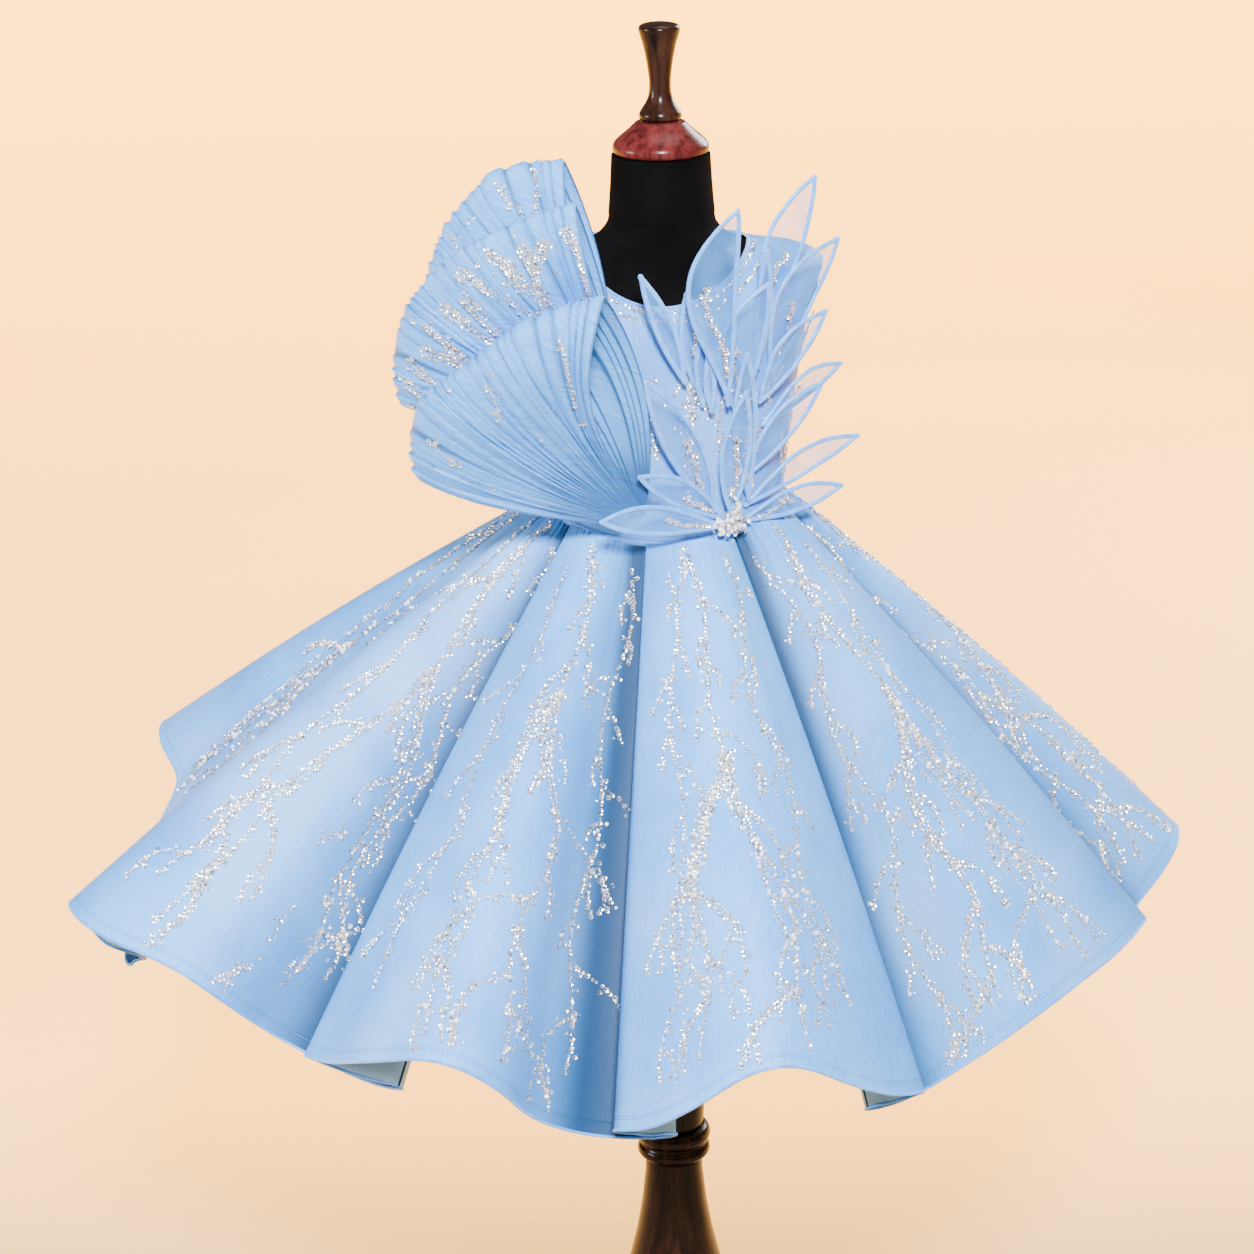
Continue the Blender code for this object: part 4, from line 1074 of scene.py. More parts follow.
def add_beads(pieces, spots, sizes):
    """Small faceted balls: six sides round, four steps from pole to pole."""
    sides = 6
    angle = np.linspace(0.0, 2.0 * np.pi, sides, endpoint=False)
    polar = np.linspace(0.15, np.pi - 0.15, 4)
    ball = np.concatenate([np.stack([np.sin(p) * np.cos(angle), np.sin(p) * np.sin(angle),
                                     np.cos(p) + 0.0 * angle], -1) for p in polar]) * 0.5
    points = np.repeat(sizes, len(ball))[:, None] * np.tile(ball, (len(spots), 1))
    points = points + np.repeat(spots, len(ball), axis=0)
    here = np.arange(sides)
    after = (here + 1) % sides
    faces = np.concatenate([np.stack([a * sides + here, (a + 1) * sides + here,
                                      (a + 1) * sides + after, a * sides + after], -1)
                            for a in range(len(polar) - 1)])
    start = np.arange(len(spots)) * len(ball)
    caps = np.concatenate([np.stack([start, start + 1, start + 2, start + 3], -1),
                           np.stack([start, start + 3, start + 4, start + 5], -1)])
    low = start + (len(polar) - 1) * sides
    caps_low = np.concatenate([np.stack([low + 3, low + 2, low + 1, low], -1),
                               np.stack([low + 5, low + 4, low + 3, low], -1)])
    faces = (faces[None] + start[:, None, None]).reshape(-1, 4)
    pieces.add(points, np.concatenate([faces, caps, caps_low]), paint=1)


def band_of(rng, path, way, rows):
    """Rings in so many rows along a flat path: every row shifted half a pace on the last."""
    spots = []
    for row in range(int(np.ceil(rows.max()))):
        keep = rows > row + 0.2
        shift = (row + 1) // 2 * (1.0 if row % 2 else -1.0) * ROW_PITCH
        across = np.stack([np.cos(way), -np.sin(way)], -1) * shift
        down = np.stack([np.sin(way), np.cos(way)], -1) * 0.5 * RING_PITCH * (row % 2)
        spots.append((path + across + down)[keep])
    spots = np.concatenate(spots)
    return spots + rng.normal(0.0, 0.32, spots.shape)


def twig_of(rng, start, way, length, curl, rows):
    """Flat path from a start, its ways (from straight down) and its rings.

    The way turns by the curl over the length, and wavers by a sine.
    """
    steps = max(int(length / RING_PITCH), 3)
    share = np.linspace(0.0, 1.0, steps)
    bend = rng.uniform(0.14, 0.30)
    ways = way + curl * share + bend * np.sin(length * share / 24.0 + rng.uniform(0.0, 6.0))
    path = start + np.cumsum(np.stack([np.sin(ways), np.cos(ways)], -1) * RING_PITCH, axis=0)
    thick = rows * (0.55 + 0.45 * np.sin(np.pi * share * 1.3 + rng.uniform(0.0, 2.0)))
    rings = band_of(rng, path, ways, np.maximum(thick, 0.6))
    berries = path[2::5] + np.stack([np.cos(ways), -np.sin(ways)], -1)[2::5] * rng.choice(
        (-3.1, 3.1), (len(path[2::5]), 1))
    return path, ways, np.concatenate([rings, berries])


def sprig(rng, length, half_at):
    """Rings of the trees on one panel: (lateral, along) points in millimetres.

    A trunk runs down from the waist and parts at a knot into two limbs that reach the hem.
    Every limb sheds long curved twigs to either hand. A thin stem runs down beside each fold
    and sheds short ones.
    """
    spots = []
    start = np.array([half_at(0.0) * rng.uniform(-0.3, 0.3), rng.uniform(2.0, 8.0)])
    way = rng.uniform(-0.08, 0.08)
    path, ways, rings = twig_of(rng, start, way, length * rng.uniform(0.28, 0.50),
                                rng.uniform(-0.2, 0.2), 2.4)
    knot = path[-1]
    spots += [rings, knot + rng.normal(0.0, 2.8, (16, 2))]
    stems = [(path, ways, 0.9, 1.0)]
    for side in (-1.0, 1.0):
        left = length - knot[1] - rng.uniform(4.0, 24.0)
        spread = side * rng.uniform(0.18, 0.34)
        path, ways, rings = twig_of(rng, knot, spread, left, -spread * rng.uniform(0.6, 1.4),
                                    rng.uniform(1.9, 3.0))
        spots.append(rings)
        stems.append((path, ways, 1.2, 1.0))
        lean = side * rng.uniform(0.05, 0.12)
        begin = np.array([side * half_at(0.0) * 0.62, rng.uniform(4.0, 30.0)])
        path, ways, rings = twig_of(rng, begin, lean, length - begin[1] - rng.uniform(0.0, 60.0),
                                    side * rng.uniform(0.0, 0.16), 1.1)
        spots.append(rings)
        stems.append((path, ways, 0.8, 0.7))
    for path, ways, rows, size in stems:
        turn = rng.choice((-1.0, 1.0))
        at = rng.uniform(10.0, 30.0)
        while at < RING_PITCH * len(path) - 20.0:
            here = min(int(at / RING_PITCH), len(path) - 1)
            span = rng.uniform(34.0, 96.0) * (0.45 + 0.65 * path[here][1] / length) * size
            lean = turn * rng.uniform(0.55, 1.05)
            twig, twig_ways, rings = twig_of(rng, path[here], ways[here] + lean, span,
                                             -lean * rng.uniform(0.6, 1.3),
                                             rows * rng.uniform(0.8, 1.7))
            spots.append(rings)
            if span > 44.0:
                middle = len(twig) // 2
                spots.append(twig_of(rng, twig[middle], twig_ways[middle] - 0.7 * turn,
                                     0.5 * span, 0.4 * turn, 0.8)[2])
                spots.append(path[here] + rng.normal(0.0, 1.8, (6, 2)))
            turn = -turn
            at += rng.uniform(20.0, 40.0)
    spots = np.concatenate(spots)
    return spots[:, 0], spots[:, 1]


def turned_grid(profile):
    """A profile turned about Z in 96 sides, its corners cut round three times.

    A cut takes a quarter of a side, or CORNER_CUT where that is less.
    """
    line = np.array(profile)
    for _ in range(3):
        size = np.linalg.norm(line[1:] - line[:-1], axis=1)[:, None]
        trim = np.minimum(0.25, CORNER_CUT / np.maximum(size, 1e-6))
        near = line[:-1] + (line[1:] - line[:-1]) * trim
        far = line[1:] - (line[1:] - line[:-1]) * trim
        line = np.concatenate([line[:1], np.stack([near, far], 1).reshape(-1, 2)[1:-1], line[-1:]])
    line[0, 0] = 0.05
    line[-1, 0] = 0.05
    angle = np.linspace(0.0, 2.0 * np.pi, 96, endpoint=False)
    radius = line[:, 0][:, None]
    return np.stack([radius * np.cos(angle), radius * np.sin(angle),
                     line[:, 1][:, None] + 0.0 * angle], -1)


class DressSizes(bpy.types.PropertyGroup):
    """Sizes of the cloth and trimmings."""

    cloth: FloatProperty(name="Cloth", description="Thickness of skirt and bodice cloth (mm)",
                         default=1.1, min=0.4, max=1.6)
    crease: FloatProperty(name="Creases", description="Strength of the skirt's creases",
                          default=1.0, min=0.0, max=1.5)
    piping: FloatProperty(name="Piping", description="Width of the piping round a leaf (mm)",
                          default=3.5, min=1.5, max=6.0)
    binding: FloatProperty(name="Binding", description="Radius of hem and neck bindings (mm)",
                           default=1.15, min=0.5, max=2.0)
    sequin: FloatProperty(name="Sequin", description="Width of a ring sequin (mm)",
                          default=3.8, min=1.5, max=5.0)
    seed: IntProperty(name="Seed", description="Seed of the sequin sprigs", default=11)


def tint(name, description, default):
    """A colour that the user can change."""
    return FloatVectorProperty(name=name, description=description, default=default,
                               subtype="COLOR", size=3)


class DressColours(bpy.types.PropertyGroup):
    """Colours of the finishes."""

    satin: tint("Satin", "Skirt and bodice", (0.095, 0.40, 0.98))
    satin_deep: tint("Satin shade", "Shaded cloth", (0.045, 0.29, 0.86))
    lining: tint("Lining", "Inside of the skirt", (0.33, 0.58, 0.90))
    organza: tint("Organza", "Loops and leaves", (0.10, 0.39, 0.93))
    organza_deep: tint("Organza shade", "Between the tucks", (0.035, 0.25, 0.76))
    piping: tint("Piping", "Rolled edge of the leaves", (0.045, 0.28, 0.86))
    jersey: tint("Jersey", "Cover of the form", (0.0024, 0.0024, 0.0028))
    wood: tint("Dark wood", "Pole, pedestal and finial", (0.0036, 0.0016, 0.0013))
    mahogany: tint("Mahogany", "Cap of the neck", (0.026, 0.0035, 0.0045))
    paper: tint("Floor", "Floor under the form", (0.44, 0.30, 0.18))


PAINTS = {}


def paint(kind):
    """The finish of that kind, made once from the scene's colours."""
    if kind in PAINTS:
        return PAINTS[kind]
    colours = bpy.context.scene.dress_colours
    of = {name: tuple(getattr(colours, name)) for name in DressColours.__annotations__}
    satin, deep, organza = of["satin"], of["satin_deep"], of["organza"]
    makers = {
        "satin": (satin_paint, "sky blue satin organza", satin, deep),
        # the bodice is the satin made darker: painted shade over the whole bodice
        "bodice": (satin_paint, "bodice satin organza", lighter(satin, -0.18),
                   lighter(deep, -0.18), False),
        "lining": (lining_paint, "pale lining", of["lining"]),
        "tucked": (tucked_paint, "tucked organza", organza, of["organza_deep"]),
        "web": (web_paint, "sheer leaf organza", organza, of["organza_deep"]),
        "piping": (piping_paint, "rolled organza piping", of["piping"], organza),
        "binding": (piping_paint, "satin binding", deep, lighter(deep, -0.25)),
        "sequin": (sequin_paint, "silver ring sequins"),
        "crystal": (crystal_paint, "glass beads"),
        "jersey": (jersey_paint, "black jersey knit", of["jersey"]),
        "wood": (wood_paint, "dark stained wood", of["wood"], (0.028, 0.010, 0.006)),
        "mahogany": (wood_paint, "mahogany stain", of["mahogany"], (0.10, 0.016, 0.015)),
        "paper": (floor_paint, "pale floor", of["paper"], FLOOR_GLOW),
    }
    maker, *values = makers[kind]
    PAINTS[kind] = maker(*values)
    return PAINTS[kind]


class DRESS_OT_form(bpy.types.Operator):
    """Cover the dress form in black jersey with its seams"""

    bl_idname = "dress.form"
    bl_label = "Form"

    def execute(self, context):
        rings = np.concatenate([np.linspace(0.0, 9.0, 40)[:-1], np.linspace(9.0, 16.0, 62)[:-1],
                                np.linspace(16.0, 18.0, 16)])
        azimuth = np.linspace(-np.pi, np.pi, 104, endpoint=False)
        ring, turn = np.broadcast_arrays(rings[:, None], azimuth[None, :])
        points = form_point(ring, turn)
        normal = form_normal(np.clip(ring, 0.02, 17.98), turn)
        seam = np.exp(-((ring - RING_OF["neck"]) / 0.10) ** 2)
        below = smooth_step((RING_OF["neck"] - ring) / 0.3)
        for place in (-np.pi, -0.5 * np.pi, 0.0, 0.5 * np.pi, np.pi):
            gap = (turn - place) * FORM_RADIUS
            seam = np.maximum(seam, np.exp(-(gap / SEAM_HALF_WIDTH) ** 2) * below)
        points = points - SEAM_GROOVE * seam[..., None] * normal
        pieces = Pieces()
        cut = np.stack([turn * 0.085, points[..., 2] * MM], -1)
        ends = [np.repeat(points[row].mean(0)[None, None], len(azimuth), 1) for row in (0, -1)]
        lid = [ends[k] + 0.01 * (points[row][None] - ends[k]) for k, row in enumerate((0, -1))]
        points = np.concatenate([lid[0], points, lid[1]])
        cut = np.concatenate([cut[:1], cut, cut[-1:]])
        pieces.add_grid(points, cut=cut, turn=True)
        pieces.build("jersey_cover", [paint("jersey")], ["form_torso"], angle=60.0)
        return {"FINISHED"}


class DRESS_OT_stand(bpy.types.Operator):
    """Turn the wooden pieces above and below the form"""

    bl_idname = "dress.stand"
    bl_label = "Stand"

    def execute(self, context):
        pieces = (("finial_wood", "finial", FINIAL, "wood", "dark_wood"),
                  ("neck_cap_wood", "neck_cap", NECK_CAP, "mahogany", "mahogany"),
                  ("pole_collar_wood", "pole_collar", POLE_COLLAR, "wood", "dark_wood"),
                  ("pole_wood", "pole", POLE, "wood", "dark_wood"),
                  ("pole_ring_wood", "pole_ring", POLE_RING, "wood", "dark_wood"),
                  ("pedestal_wood", "pedestal", PEDESTAL, "wood", "dark_wood"))
        for name, node, profile, finish, slot in pieces:
            made = Pieces()
            made.add_grid(turned_grid(profile))
            made.build(name, [paint(finish)], [node], angle=50.0)
        return {"FINISHED"}


class DRESS_OT_bodice(bpy.types.Operator):
    """Cut the bodice front and the two backs, with bindings at neck and armholes"""

    bl_idname = "dress.bodice"
    bl_label = "Bodice"

    def execute(self, context):
        sizes = context.scene.dress_sizes
        rows = np.concatenate([np.linspace(0.0, 0.80, 40)[:-1], np.linspace(0.80, 1.0, 28)])
        full = np.linspace(-1.0, 1.0, 97)
        half = np.linspace(0.0, 1.0, 49)
        panels = (("bodice_front", full, NECK_FRONT, ARMHOLE_BITE, 0.0),
                  ("bodice_back_left", half, NECK_BACK, ARMHOLE_BITE_BACK, -1.0),
                  ("bodice_back_right", half, NECK_BACK, ARMHOLE_BITE_BACK, 1.0))
        for name, across, neck_ring, bite, hand in panels:
            ring, angle = panel_grid(across, neck_ring, bite, rows)
            if hand == 0.0:
                last = 90.0 - SEAM_ROOM
                turn = np.radians(np.clip(angle * np.sign(across)[None, :], -last, last))
            else:
                last = 180.0 - SEAM_ROOM
                side_seam = np.radians(90.0 + SEAM_ROOM)
                turn = np.radians(np.clip(hand * (180.0 - angle), -last, last))
                turn = np.where(np.abs(turn) < side_seam, hand * side_seam, turn)
            wave = 0.20 * np.sin(turn * 23.0 + ring * 0.8)
            wave = wave + 0.16 * np.sin(turn * 11.0 - ring * 1.7)
            drag = 0.30 * np.sin(ring * 4.2 + 3.0 * np.sin(turn * 2.0))
            drag = drag * np.exp(-(ring - RING_OF["waist"]) / 1.3)
            ease_in = smooth_step(rows[:, None] / 0.1) * smooth_step((1.0 - rows[:, None]) / 0.1)
            lift = 0.5 * WALL + (wave + drag) * ease_in
            middle = bodice_surface(ring, turn, lift)
            normal = form_normal(ring, turn)
            thick = 0.5 * sizes.cloth
            cut = cut_coordinates(middle)
            made = Pieces()
            made.add_wall(middle + thick * normal, middle - thick * normal, cut, 1)
            piece = made.build(name + "_cloth", [paint("bodice"), paint("lining")],
                               [name])
            trims = Pieces()
            seam = middle[0] + 1.5 * normal[0] - np.array([0.0, 0.0, 1.3])
            trims.add_tube(seam, 2.5, 2.0, normal[0])
            strap = np.abs(across) <= 1.0 - STRAP_SHARE
            radius = sizes.binding
            top = middle[-1][strap]
            trims.add_tube(top, radius * 1.1, radius * 1.1, normal[-1][strap])
            holes = rows > (RING_OF["underarm"] - RING_OF["waist"]) / 6.0
            for edge in (0, -1) if hand == 0.0 else (-1,):
                trims.add_tube(middle[holes, edge], radius, radius, normal[holes, edge])
            binding = trims.build(name + "_binding", [paint("binding")])
            flat, area = cut_size(middle)
        return {"FINISHED"}


class DRESS_OT_skirt(bpy.types.Operator):
    """Hang nine flared panels, lapped in pleats, each with a rolled hem"""

    bl_idname = "dress.skirt"
    bl_label = "Skirt"

    def execute(self, context):
        sizes = context.scene.dress_sizes
        share = np.linspace(0.0, 1.0, 68)[:, None]
        for number, crest in enumerate(SKIRT_CRESTS):
            steps = flare_steps(number, 5.2)
            middle = flare_surface(number, steps[None, :], share, sizes.crease)
            normal = grid_normals(middle)
            outward = middle - np.array([0.0, 0.0, 600.0])
            centre = middle.shape[1] // 2
            if np.sum(normal[30, centre] * outward[30, centre]) < 0.0:
                normal = -normal
            thick = 0.5 * sizes.cloth
            cut = cut_coordinates(middle)
            made = Pieces()
            # painted shade: the cloth is darkened near the folds where the flares meet
            shade = flare_shade(number, steps[None, :], share)
            made.add_wall(middle + thick * normal, middle - thick * normal, cut, 1, shade)
            name = crest[0].replace("skirt_flare", "flare")
            piece = made.build(name + "_cloth", [paint("satin"), paint("lining")],
                               [crest[0]])
            hem = Pieces()
            radius = sizes.binding
            hem.add_tube(middle[-1], radius, radius, normal[-1], sides=8)
            binding = hem.build(name + "_hem", [paint("binding")])
            flat, area = cut_size(middle)
        return {"FINISHED"}


class DRESS_OT_loops(bpy.types.Operator):
    """Tuck three organza strips into half bows"""

    bl_idname = "dress.loops"
    bl_label = "Loops"

    def execute(self, context):
        sizes = context.scene.dress_sizes
        out = 1.0 - (1.0 - np.linspace(0.0, 1.0, 38)) ** 1.35
        turn = np.concatenate([out, 2.0 - out[-2::-1]])[:, None]
        for loop in LOOPS:
            sweep = np.linspace(0.0, 1.0, loop[12] * 8 + 1)[None, :]
            middle = loop_point(loop, sweep, turn)
            normal = grid_normals(middle)
            if normal[20, sweep.size // 2, 1] > 0.0:
                normal = -normal
            height = tuck_height(loop, sweep, turn)[..., None]
            thick = 0.45 * sizes.cloth
            cut = cut_coordinates(middle.transpose(1, 0, 2)).transpose(1, 0, 2)[..., ::-1]
            made = Pieces()
            outer = middle + (thick + height) * normal
            inner = middle + (height * 0.8 - thick) * normal
            # painted shade between the tucks, near the gather and on the back layer
            made.add_wall(outer, inner, cut, shade=tuck_shade(loop, sweep, turn))
            name = loop[0] + "_organza"
            piece = made.build(name, [paint("tucked")], [loop[0]], angle=70.0)
            flat, area = cut_size(middle)
        return {"FINISHED"}


class DRESS_OT_leaves(bpy.types.Operator):
    """Set the sheer leaves with their rolled piping"""

    bl_idname = "dress.leaves"
    bl_label = "Leaves"

    def execute(self, context):
        sizes = context.scene.dress_sizes
        wide = 0.5 * sizes.piping
        for number, leaf in enumerate(LEAVES):
            share = 0.5 - 0.5 * np.cos(np.linspace(0.0, np.pi, 34))
            left, face = leaf_point(leaf, 1.0, share, wide)
            right, _ = leaf_point(leaf, -1.0, share, wide)
            ripple = 0.35 * np.sin(share * 19.0 + number) * np.sin(np.pi * share)
            path = np.concatenate([left + ripple[:, None] * face,
                                   (right - ripple[:, None] * face)[-2:0:-1]])
            piping = Pieces()
            around = np.broadcast_to(face, path.shape)
            piping.add_tube(path, wide, 0.72 * wide, around, sides=10, closed=True)
            rolled = piping.build(leaf[0] + "_piping", [paint("piping")], angle=None)
            across = np.linspace(-1.0, 1.0, 11)[None, :]
            inner = share[1:-1][:, None] + 0.0 * across
            middle, face = leaf_point(leaf, across + 0.0 * inner, inner, 0.25 * wide)
            vein = 0.28 * np.sin(across * 7.0 + number) * np.sin(np.pi * inner)
            sag = 0.45 * (1.0 - across ** 2) * np.sin(np.pi * inner)
            middle = middle + (vein - sag)[..., None] * face
            web = Pieces()
            web.add_wall(middle + 0.20 * face, middle - 0.20 * face, cut_coordinates(middle))
            piece = web.build(leaf[0] + "_web", [paint("web")], [leaf[0]])
            whole, _ = leaf_point(leaf, across + 0.0 * inner, inner, 0.0)
            flat, area = cut_size(whole)
            area = area + LEAF_TURNING * sum(flat)
            flat = (flat[0] + 2.0 * LEAF_TURNING, flat[1] + 2.0 * LEAF_TURNING)
        return {"FINISHED"}


def outwards(normals, away):
    """Normals, each turned round where it points against a direction."""
    return normals * np.where(np.sum(normals * away, -1) < 0.0, -1.0, 1.0)[..., None]


def column_of(number, offset):
    """Fractional column of a flare at an offset from its crest; nan past its two folds."""
    laps = len(SKIRT_LAPS)
    before = 7.0 if SKIRT_LAPS[number][5] == -1 else 2.4
    after = 7.0 if SKIRT_LAPS[(number + 1) % laps][5] == 1 else 2.4
    count = flare_columns(number, np.array([1.0])).shape[0]
    fine = np.linspace(before, count - 1.0 - after, 400)
    place = pick_column(flare_columns(number, np.ones(400)), fine)[:, 0]
    return np.interp(offset, place - (2.0 * number + 1.0), fine, left=np.nan, right=np.nan)


class DRESS_OT_sequins(bpy.types.Operator):
    """Sew sprigs of ring sequins over skirt, loops, bodice and leaves"""

    bl_idname = "dress.sequins"
    bl_label = "Sequins"

    def sizes(self, count, seed):
        """Widths of the rings: near the stated width, a fifth of them small."""
        rng = np.random.default_rng(seed)
        width = bpy.context.scene.dress_sizes.sequin
        small = rng.uniform(size=count) < 0.22
        return width * np.where(small, 0.62, rng.uniform(0.86, 1.1, count))

    def execute(self, context):
        sizes = context.scene.dress_sizes
        lift = 0.5 * sizes.cloth + 0.15
        for number, crest in enumerate(SKIRT_CRESTS):
            rng = np.random.default_rng(sizes.seed * 100 + number)
            length = crest[4]
            gap = flare_surface(number, column_of(number, np.array([[-0.5], [0.5]])),
                                np.array([[0.05, 1.0]]), 0.0)
            narrow, broad = np.linalg.norm(gap[1] - gap[0], axis=1)

            def half_at(along):
                """Half width of the panel, in millimetres, so far down."""
                return narrow + (broad - narrow) * np.clip(along / length, 0.0, 1.0)

            lateral, along = sprig(rng, length, half_at)
            offset = lateral / half_at(along)
            column = column_of(number, offset)
            keep = np.isfinite(column) & (along > 3.0) & (along < length - 5.0)
            offset, share, column = offset[keep], along[keep] / length, column[keep]
            step = 0.02
            spot = flare_surface(number, column, share, sizes.crease)
            down = flare_surface(number, column, share + step, sizes.crease) - spot
            side = flare_surface(number, column + step, share, sizes.crease) - spot
            normal = outwards(unit(np.cross(down, side)), spot - np.array([0.0, 0.0, 500.0]))
            widths = self.sizes(len(spot), number)
            bead = rng.uniform(size=len(spot)) < 0.10
            name = crest[0].replace("skirt_flare", "flare") + "_sequins"
            rings_mesh(name, (spot + lift * normal)[~bead], normal[~bead], widths[~bead], number,
                       ((spot + (lift + 0.8) * normal)[bead], widths[bead] * 0.85))
        self.bodice_rings(lift)
        self.loop_rings(lift)
        self.leaf_rings()
        return {"FINISHED"}

    def bodice_rings(self, lift):
        """Rings along the neckline and in sprigs on the bodice."""
        rng = np.random.default_rng(71)
        spots = []
        normals = []
        across = np.linspace(-0.70, 0.70, 76)
        for row in (0.985, 0.955):
            ring, angle = panel_grid(across, NECK_FRONT, ARMHOLE_BITE, np.array([row]))
            turn = np.radians(angle[0] * np.sign(across))
            spots.append(bodice_surface(ring[0], turn, 0.5 * WALL + lift + 0.4))
            normals.append(form_normal(ring[0], turn))
        for panel in range(15):
            base = np.array([0.0, rng.uniform(0.0, 60.0)])
            path, ways, rings = twig_of(rng, base, rng.uniform(-0.4, 0.4),
                                        rng.uniform(50.0, 120.0), rng.uniform(-0.9, 0.9),
                                        rng.uniform(0.9, 2.2))
            bunch = [rings]
            for part in (0.2, 0.45, 0.7):
                here = int(part * len(path))
                lean = rng.choice((-1.0, 1.0)) * rng.uniform(0.5, 1.1)
                bunch.append(twig_of(rng, path[here], ways[here] + lean,
                                     rng.uniform(16.0, 46.0), -0.8 * lean, 0.9)[2])
            rings = np.concatenate(bunch)
            centre = -168.0 + 30.0 * panel if panel < 12 else 14.0 * (panel - 12) - 2.0
            turn = centre + rings[:, 0] / DEGREE_LENGTH
            ring = RING_OF["waist"] + 0.2 + rings[:, 1] / RING_HEIGHT
            keep = (ring < 8.4 - 0.6 * np.cos(np.radians(turn))) & (np.abs(turn) < 178.0)
            turn = np.radians(turn[keep])
            spots.append(bodice_surface(ring[keep], turn, 0.5 * WALL + lift + 0.3))
            normals.append(form_normal(ring[keep], turn))
        spots = np.concatenate(spots)
        normals = np.concatenate(normals)
        rings_mesh("bodice_sequins", spots, normals, self.sizes(len(spots), 72), 72)

    def loop_rings(self, lift):
        """Loose chains and single rings on the loops."""
        rng = np.random.default_rng(81)
        for loop, chains, rows, loose in ((LOOPS[0], 3, 0.9, 10), (LOOPS[1], 13, 2.6, 40),
                                          (LOOPS[2], 5, 1.2, 16)):
            sweeps = [rng.uniform(0.04, 0.96, loose)]
            turns = [rng.uniform(0.35, 0.97, loose)]
            for chain in range(chains):
                rings = twig_of(rng, np.zeros(2), rng.uniform(-0.2, 0.2),
                                rng.uniform(30.0, 95.0), rng.uniform(-0.4, 0.4), rows)[2]
                out = rng.uniform(0.88, 0.99) - rings[:, 1] / 170.0
                sweeps.append((chain + rng.uniform(0.2, 0.8)) / chains
                              + rings[:, 0] / (200.0 * np.maximum(out, 0.3)))
                turns.append(out)
            turn = np.clip(np.concatenate(turns), 0.3, 0.98)
            sweep = np.clip(np.concatenate(sweeps), 0.02, 0.98)
            spot = loop_point(loop, sweep, turn)
            step = 0.004
            along = loop_point(loop, sweep, turn + step) - spot
            side = loop_point(loop, sweep + step, turn) - spot
            normal = outwards(unit(np.cross(along, side)), np.array([0.0, -1.0, 0.0]))
            spot = spot + (tuck_height(loop, sweep, turn) + lift + 0.2)[:, None] * normal
            rings_mesh(loop[0] + "_sequins", spot, normal, self.sizes(len(spot), 83), 84)

    def leaf_rings(self):
        """A short chain up the middle of most leaves, in one piece a leaf."""
        for number, leaf in enumerate(LEAVES):
            if leaf[5] < 9.0 or number % 4 == 3:
                continue
            rng = np.random.default_rng(900 + number)
            _, axis, _, _ = leaf_frame(leaf)
            length = np.linalg.norm(axis)
            share = np.arange(0.16, rng.uniform(0.45, 0.72), 2.5 / length)
            across = 0.30 * np.sin(share * 9.0 + number) + rng.normal(0.0, 0.05, len(share))
            extra = rng.uniform(size=len(share)) < 0.45
            share = np.concatenate([share, share[extra]])
            beside = rng.choice((-0.22, 0.22), extra.sum())
            across = np.concatenate([across, across[extra] + beside])
            spot, face = leaf_point(leaf, across, share, 2.0)
            spot = spot + 0.9 * face
            normal = np.broadcast_to(face, spot.shape)
            rings_mesh(leaf[0] + "_sequins", spot, normal, self.sizes(len(spot), number), number)


class DRESS_OT_cluster(bpy.types.Operator):
    """Heap the glass beads where the leaves and the lowest loop meet"""

    bl_idname = "dress.cluster"
    bl_label = "Bead cluster"

    def execute(self, context):
        rng = np.random.default_rng(5)
        count = 150
        side = np.array([0.87, 0.49, 0.0])
        out = np.array([0.47, -0.85, -0.2])
        up = np.array([0.0, 0.0, 1.0])
        along = rng.normal(0.0, 1.0, count)
        across = rng.normal(0.0, 1.0, count)
        deep = rng.uniform(0.0, 1.0, count)
        centre = np.array([45.0, -70.0, 803.0])
        spots = (centre + (along * 7.0)[:, None] * side + (across * 3.2)[:, None] * up
                 + (11.0 * deep * np.exp(-(along / 1.6) ** 2))[:, None] * out)
        tail = np.linspace(0.0, 1.0, 26)
        stalk = (np.array([50.0, -77.5, 808.0])[None] + tail[:, None] * np.array([2.0, -2.0, 15.0])
                 + rng.normal(0.0, 1.6, (26, 3)) * np.array([1.0, 0.35, 0.8]))
        spots = np.concatenate([spots, stalk])
        sizes = rng.uniform(2.2, 4.4, len(spots))
        ring = rng.uniform(size=len(spots)) < 0.38
        normals = unit(out + rng.normal(0.0, 0.5, (len(spots), 3)))
        rings_mesh("bead_cluster", spots[ring] + 1.4 * out, normals[ring], sizes[ring], 6,
                   (spots[~ring], sizes[~ring]))
        return {"FINISHED"}


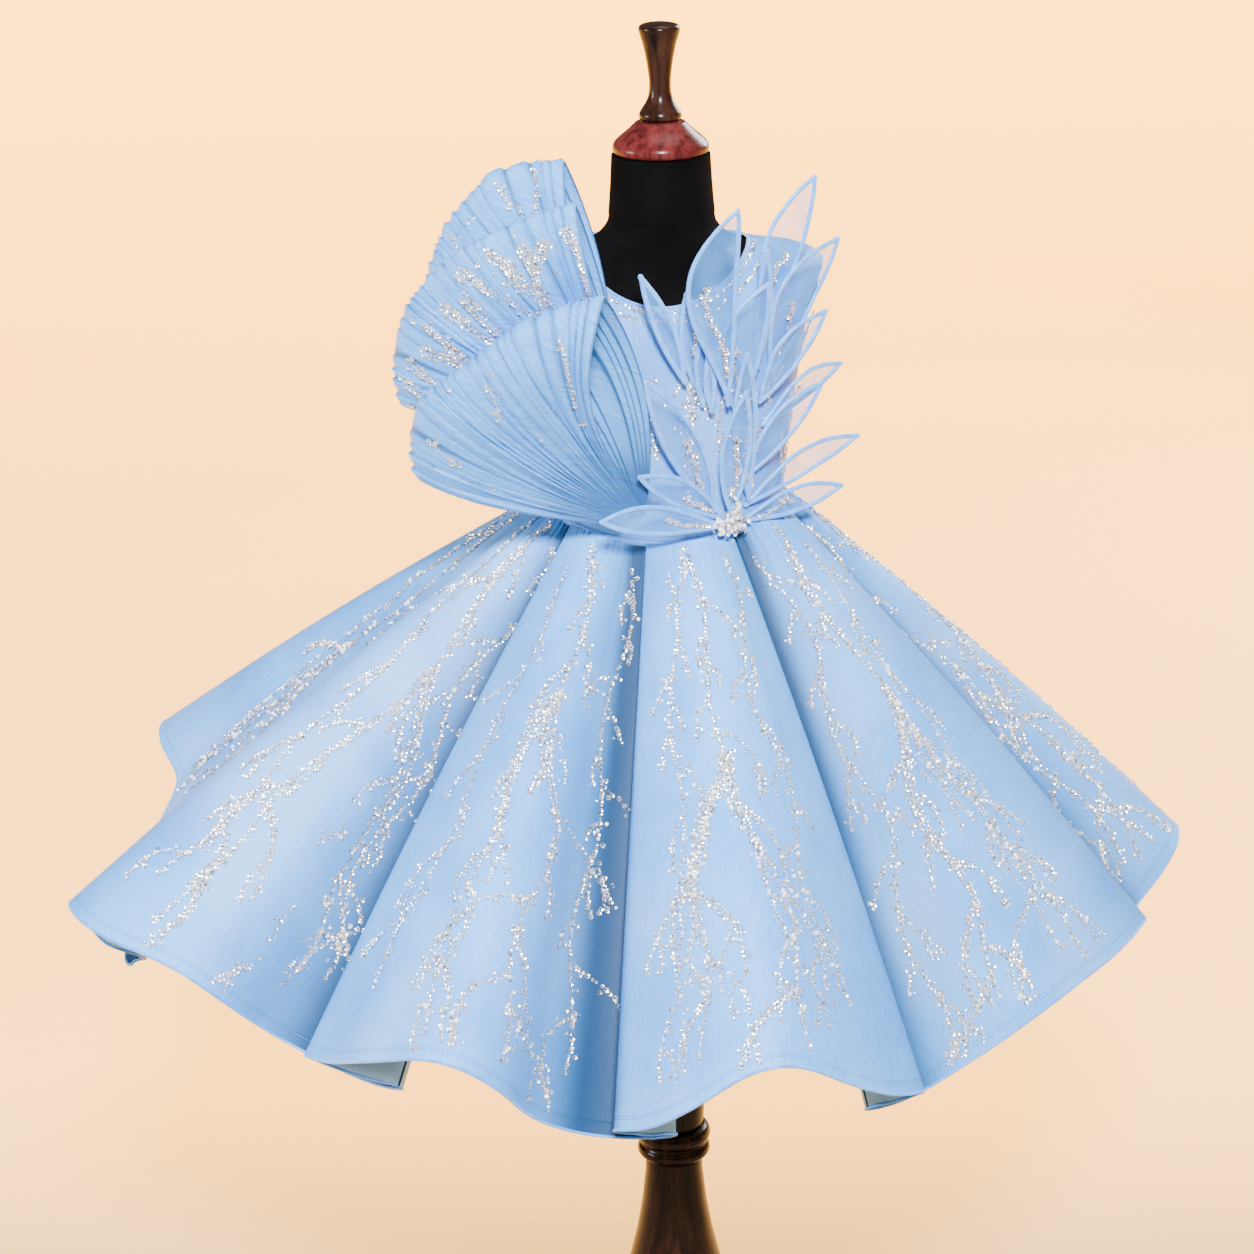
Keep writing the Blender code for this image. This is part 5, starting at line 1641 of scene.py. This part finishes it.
class DRESS_OT_stage(bpy.types.Operator):
    """Lay the floor, hang the studio lights and set the camera"""

    bl_idname = "dress.stage"
    bl_label = "Stage"

    def execute(self, context):
        edge = FLOOR_EDGE
        mesh = bpy.data.meshes.new("floor")
        mesh.from_pydata([(-edge, -edge, 0.0), (edge, -edge, 0.0), (edge, edge, 0.0),
                          (-edge, edge, 0.0)], [], [(0, 1, 2, 3)])
        mesh.materials.append(paint("paper"))
        floor = bpy.data.objects.new("floor", mesh)
        context.scene.collection.objects.link(floor)
        for name, place, size, power, colour in LIGHTS:
            data = bpy.data.lights.new(name, "AREA")
            data.shape = "DISK"
            data.size = size
            data.energy = power
            data.color = colour
            light = bpy.data.objects.new(name, data)
            light.location = place
            light.rotation_euler = self.look(MIDDLE - np.array(place)).to_euler()
            context.scene.collection.objects.link(light)
        world = bpy.data.worlds.new("studio")
        world.use_nodes = True
        background = world.node_tree.nodes["Background"]
        background.inputs["Color"].default_value = WORLD_COLOUR
        background.inputs["Strength"].default_value = WORLD_STRENGTH
        context.scene.world = world
        self.camera(context)
        return {"FINISHED"}

    def look(self, way):
        """Rotation whose -Z looks along a direction, +Y up."""
        back = -unit(way)
        right = unit(np.cross(np.array([0.0, 0.0, 1.0]), back))
        return Matrix(np.stack([right, np.cross(back, right), back], 1).tolist())

    def camera(self, context):
        """Camera of the photo: tilted down, turned and rolled a little."""
        pitch = np.radians(TILT)
        roll = np.radians(ROLL)
        yaw = np.arctan(AIM_SHIFT / FOCAL)
        forward = np.array([0.0, np.cos(pitch), -np.sin(pitch)])
        up = np.array([0.0, np.sin(pitch), np.cos(pitch)])
        right = np.array([1.0, 0.0, 0.0])
        place = MIDDLE - STAND_OFF * forward
        look = np.cos(yaw) * forward - np.sin(yaw) * right
        right = np.cos(yaw) * right + np.sin(yaw) * forward
        rolled = np.cos(roll) * right + np.sin(roll) * up
        up = -np.sin(roll) * right + np.cos(roll) * up
        data = bpy.data.cameras.new("camera")
        data.sensor_width = 36.0
        data.lens = FOCAL / PHOTO_SIDE * 36.0
        camera = bpy.data.objects.new("camera", data)
        turn = np.eye(4)
        turn[:3, :3] = np.stack([rolled, up, -look], 1)
        turn[:3, 3] = place
        camera.matrix_world = Matrix(turn.tolist())
        context.scene.collection.objects.link(camera)
        context.scene.camera = camera


class DRESS_PT_panel(bpy.types.Panel):
    """Sizes, colours and pieces of the dress."""

    bl_label = "Party Dress"
    bl_space_type = "VIEW_3D"
    bl_region_type = "UI"
    bl_category = "Dress"

    def draw(self, context):
        for group in (context.scene.dress_sizes, context.scene.dress_colours):
            box = self.layout.box()
            for name in group.__annotations__:
                box.prop(group, name)
        for operator in OPERATORS:
            self.layout.operator(operator.bl_idname)


OPERATORS = (DRESS_OT_form, DRESS_OT_stand, DRESS_OT_bodice, DRESS_OT_skirt, DRESS_OT_loops,
             DRESS_OT_leaves, DRESS_OT_sequins, DRESS_OT_cluster, DRESS_OT_stage)
CLASSES = (DressSizes, DressColours) + OPERATORS + (DRESS_PT_panel,)


def register():
    """Register the classes and hang the two groups on the scene."""
    for item in CLASSES:
        bpy.utils.register_class(item)
    bpy.types.Scene.dress_sizes = PointerProperty(type=DressSizes)
    bpy.types.Scene.dress_colours = PointerProperty(type=DressColours)


def unregister():
    """Undo register."""
    del bpy.types.Scene.dress_sizes
    del bpy.types.Scene.dress_colours
    for item in reversed(CLASSES):
        bpy.utils.unregister_class(item)


def main():
    register()
    for operator in OPERATORS:
        group, name = operator.bl_idname.split(".")
        if getattr(getattr(bpy.ops, group), name)() != {"FINISHED"}:
            raise RuntimeError(operator.bl_label + " was not finished")


if __name__ == "__main__":
    main()
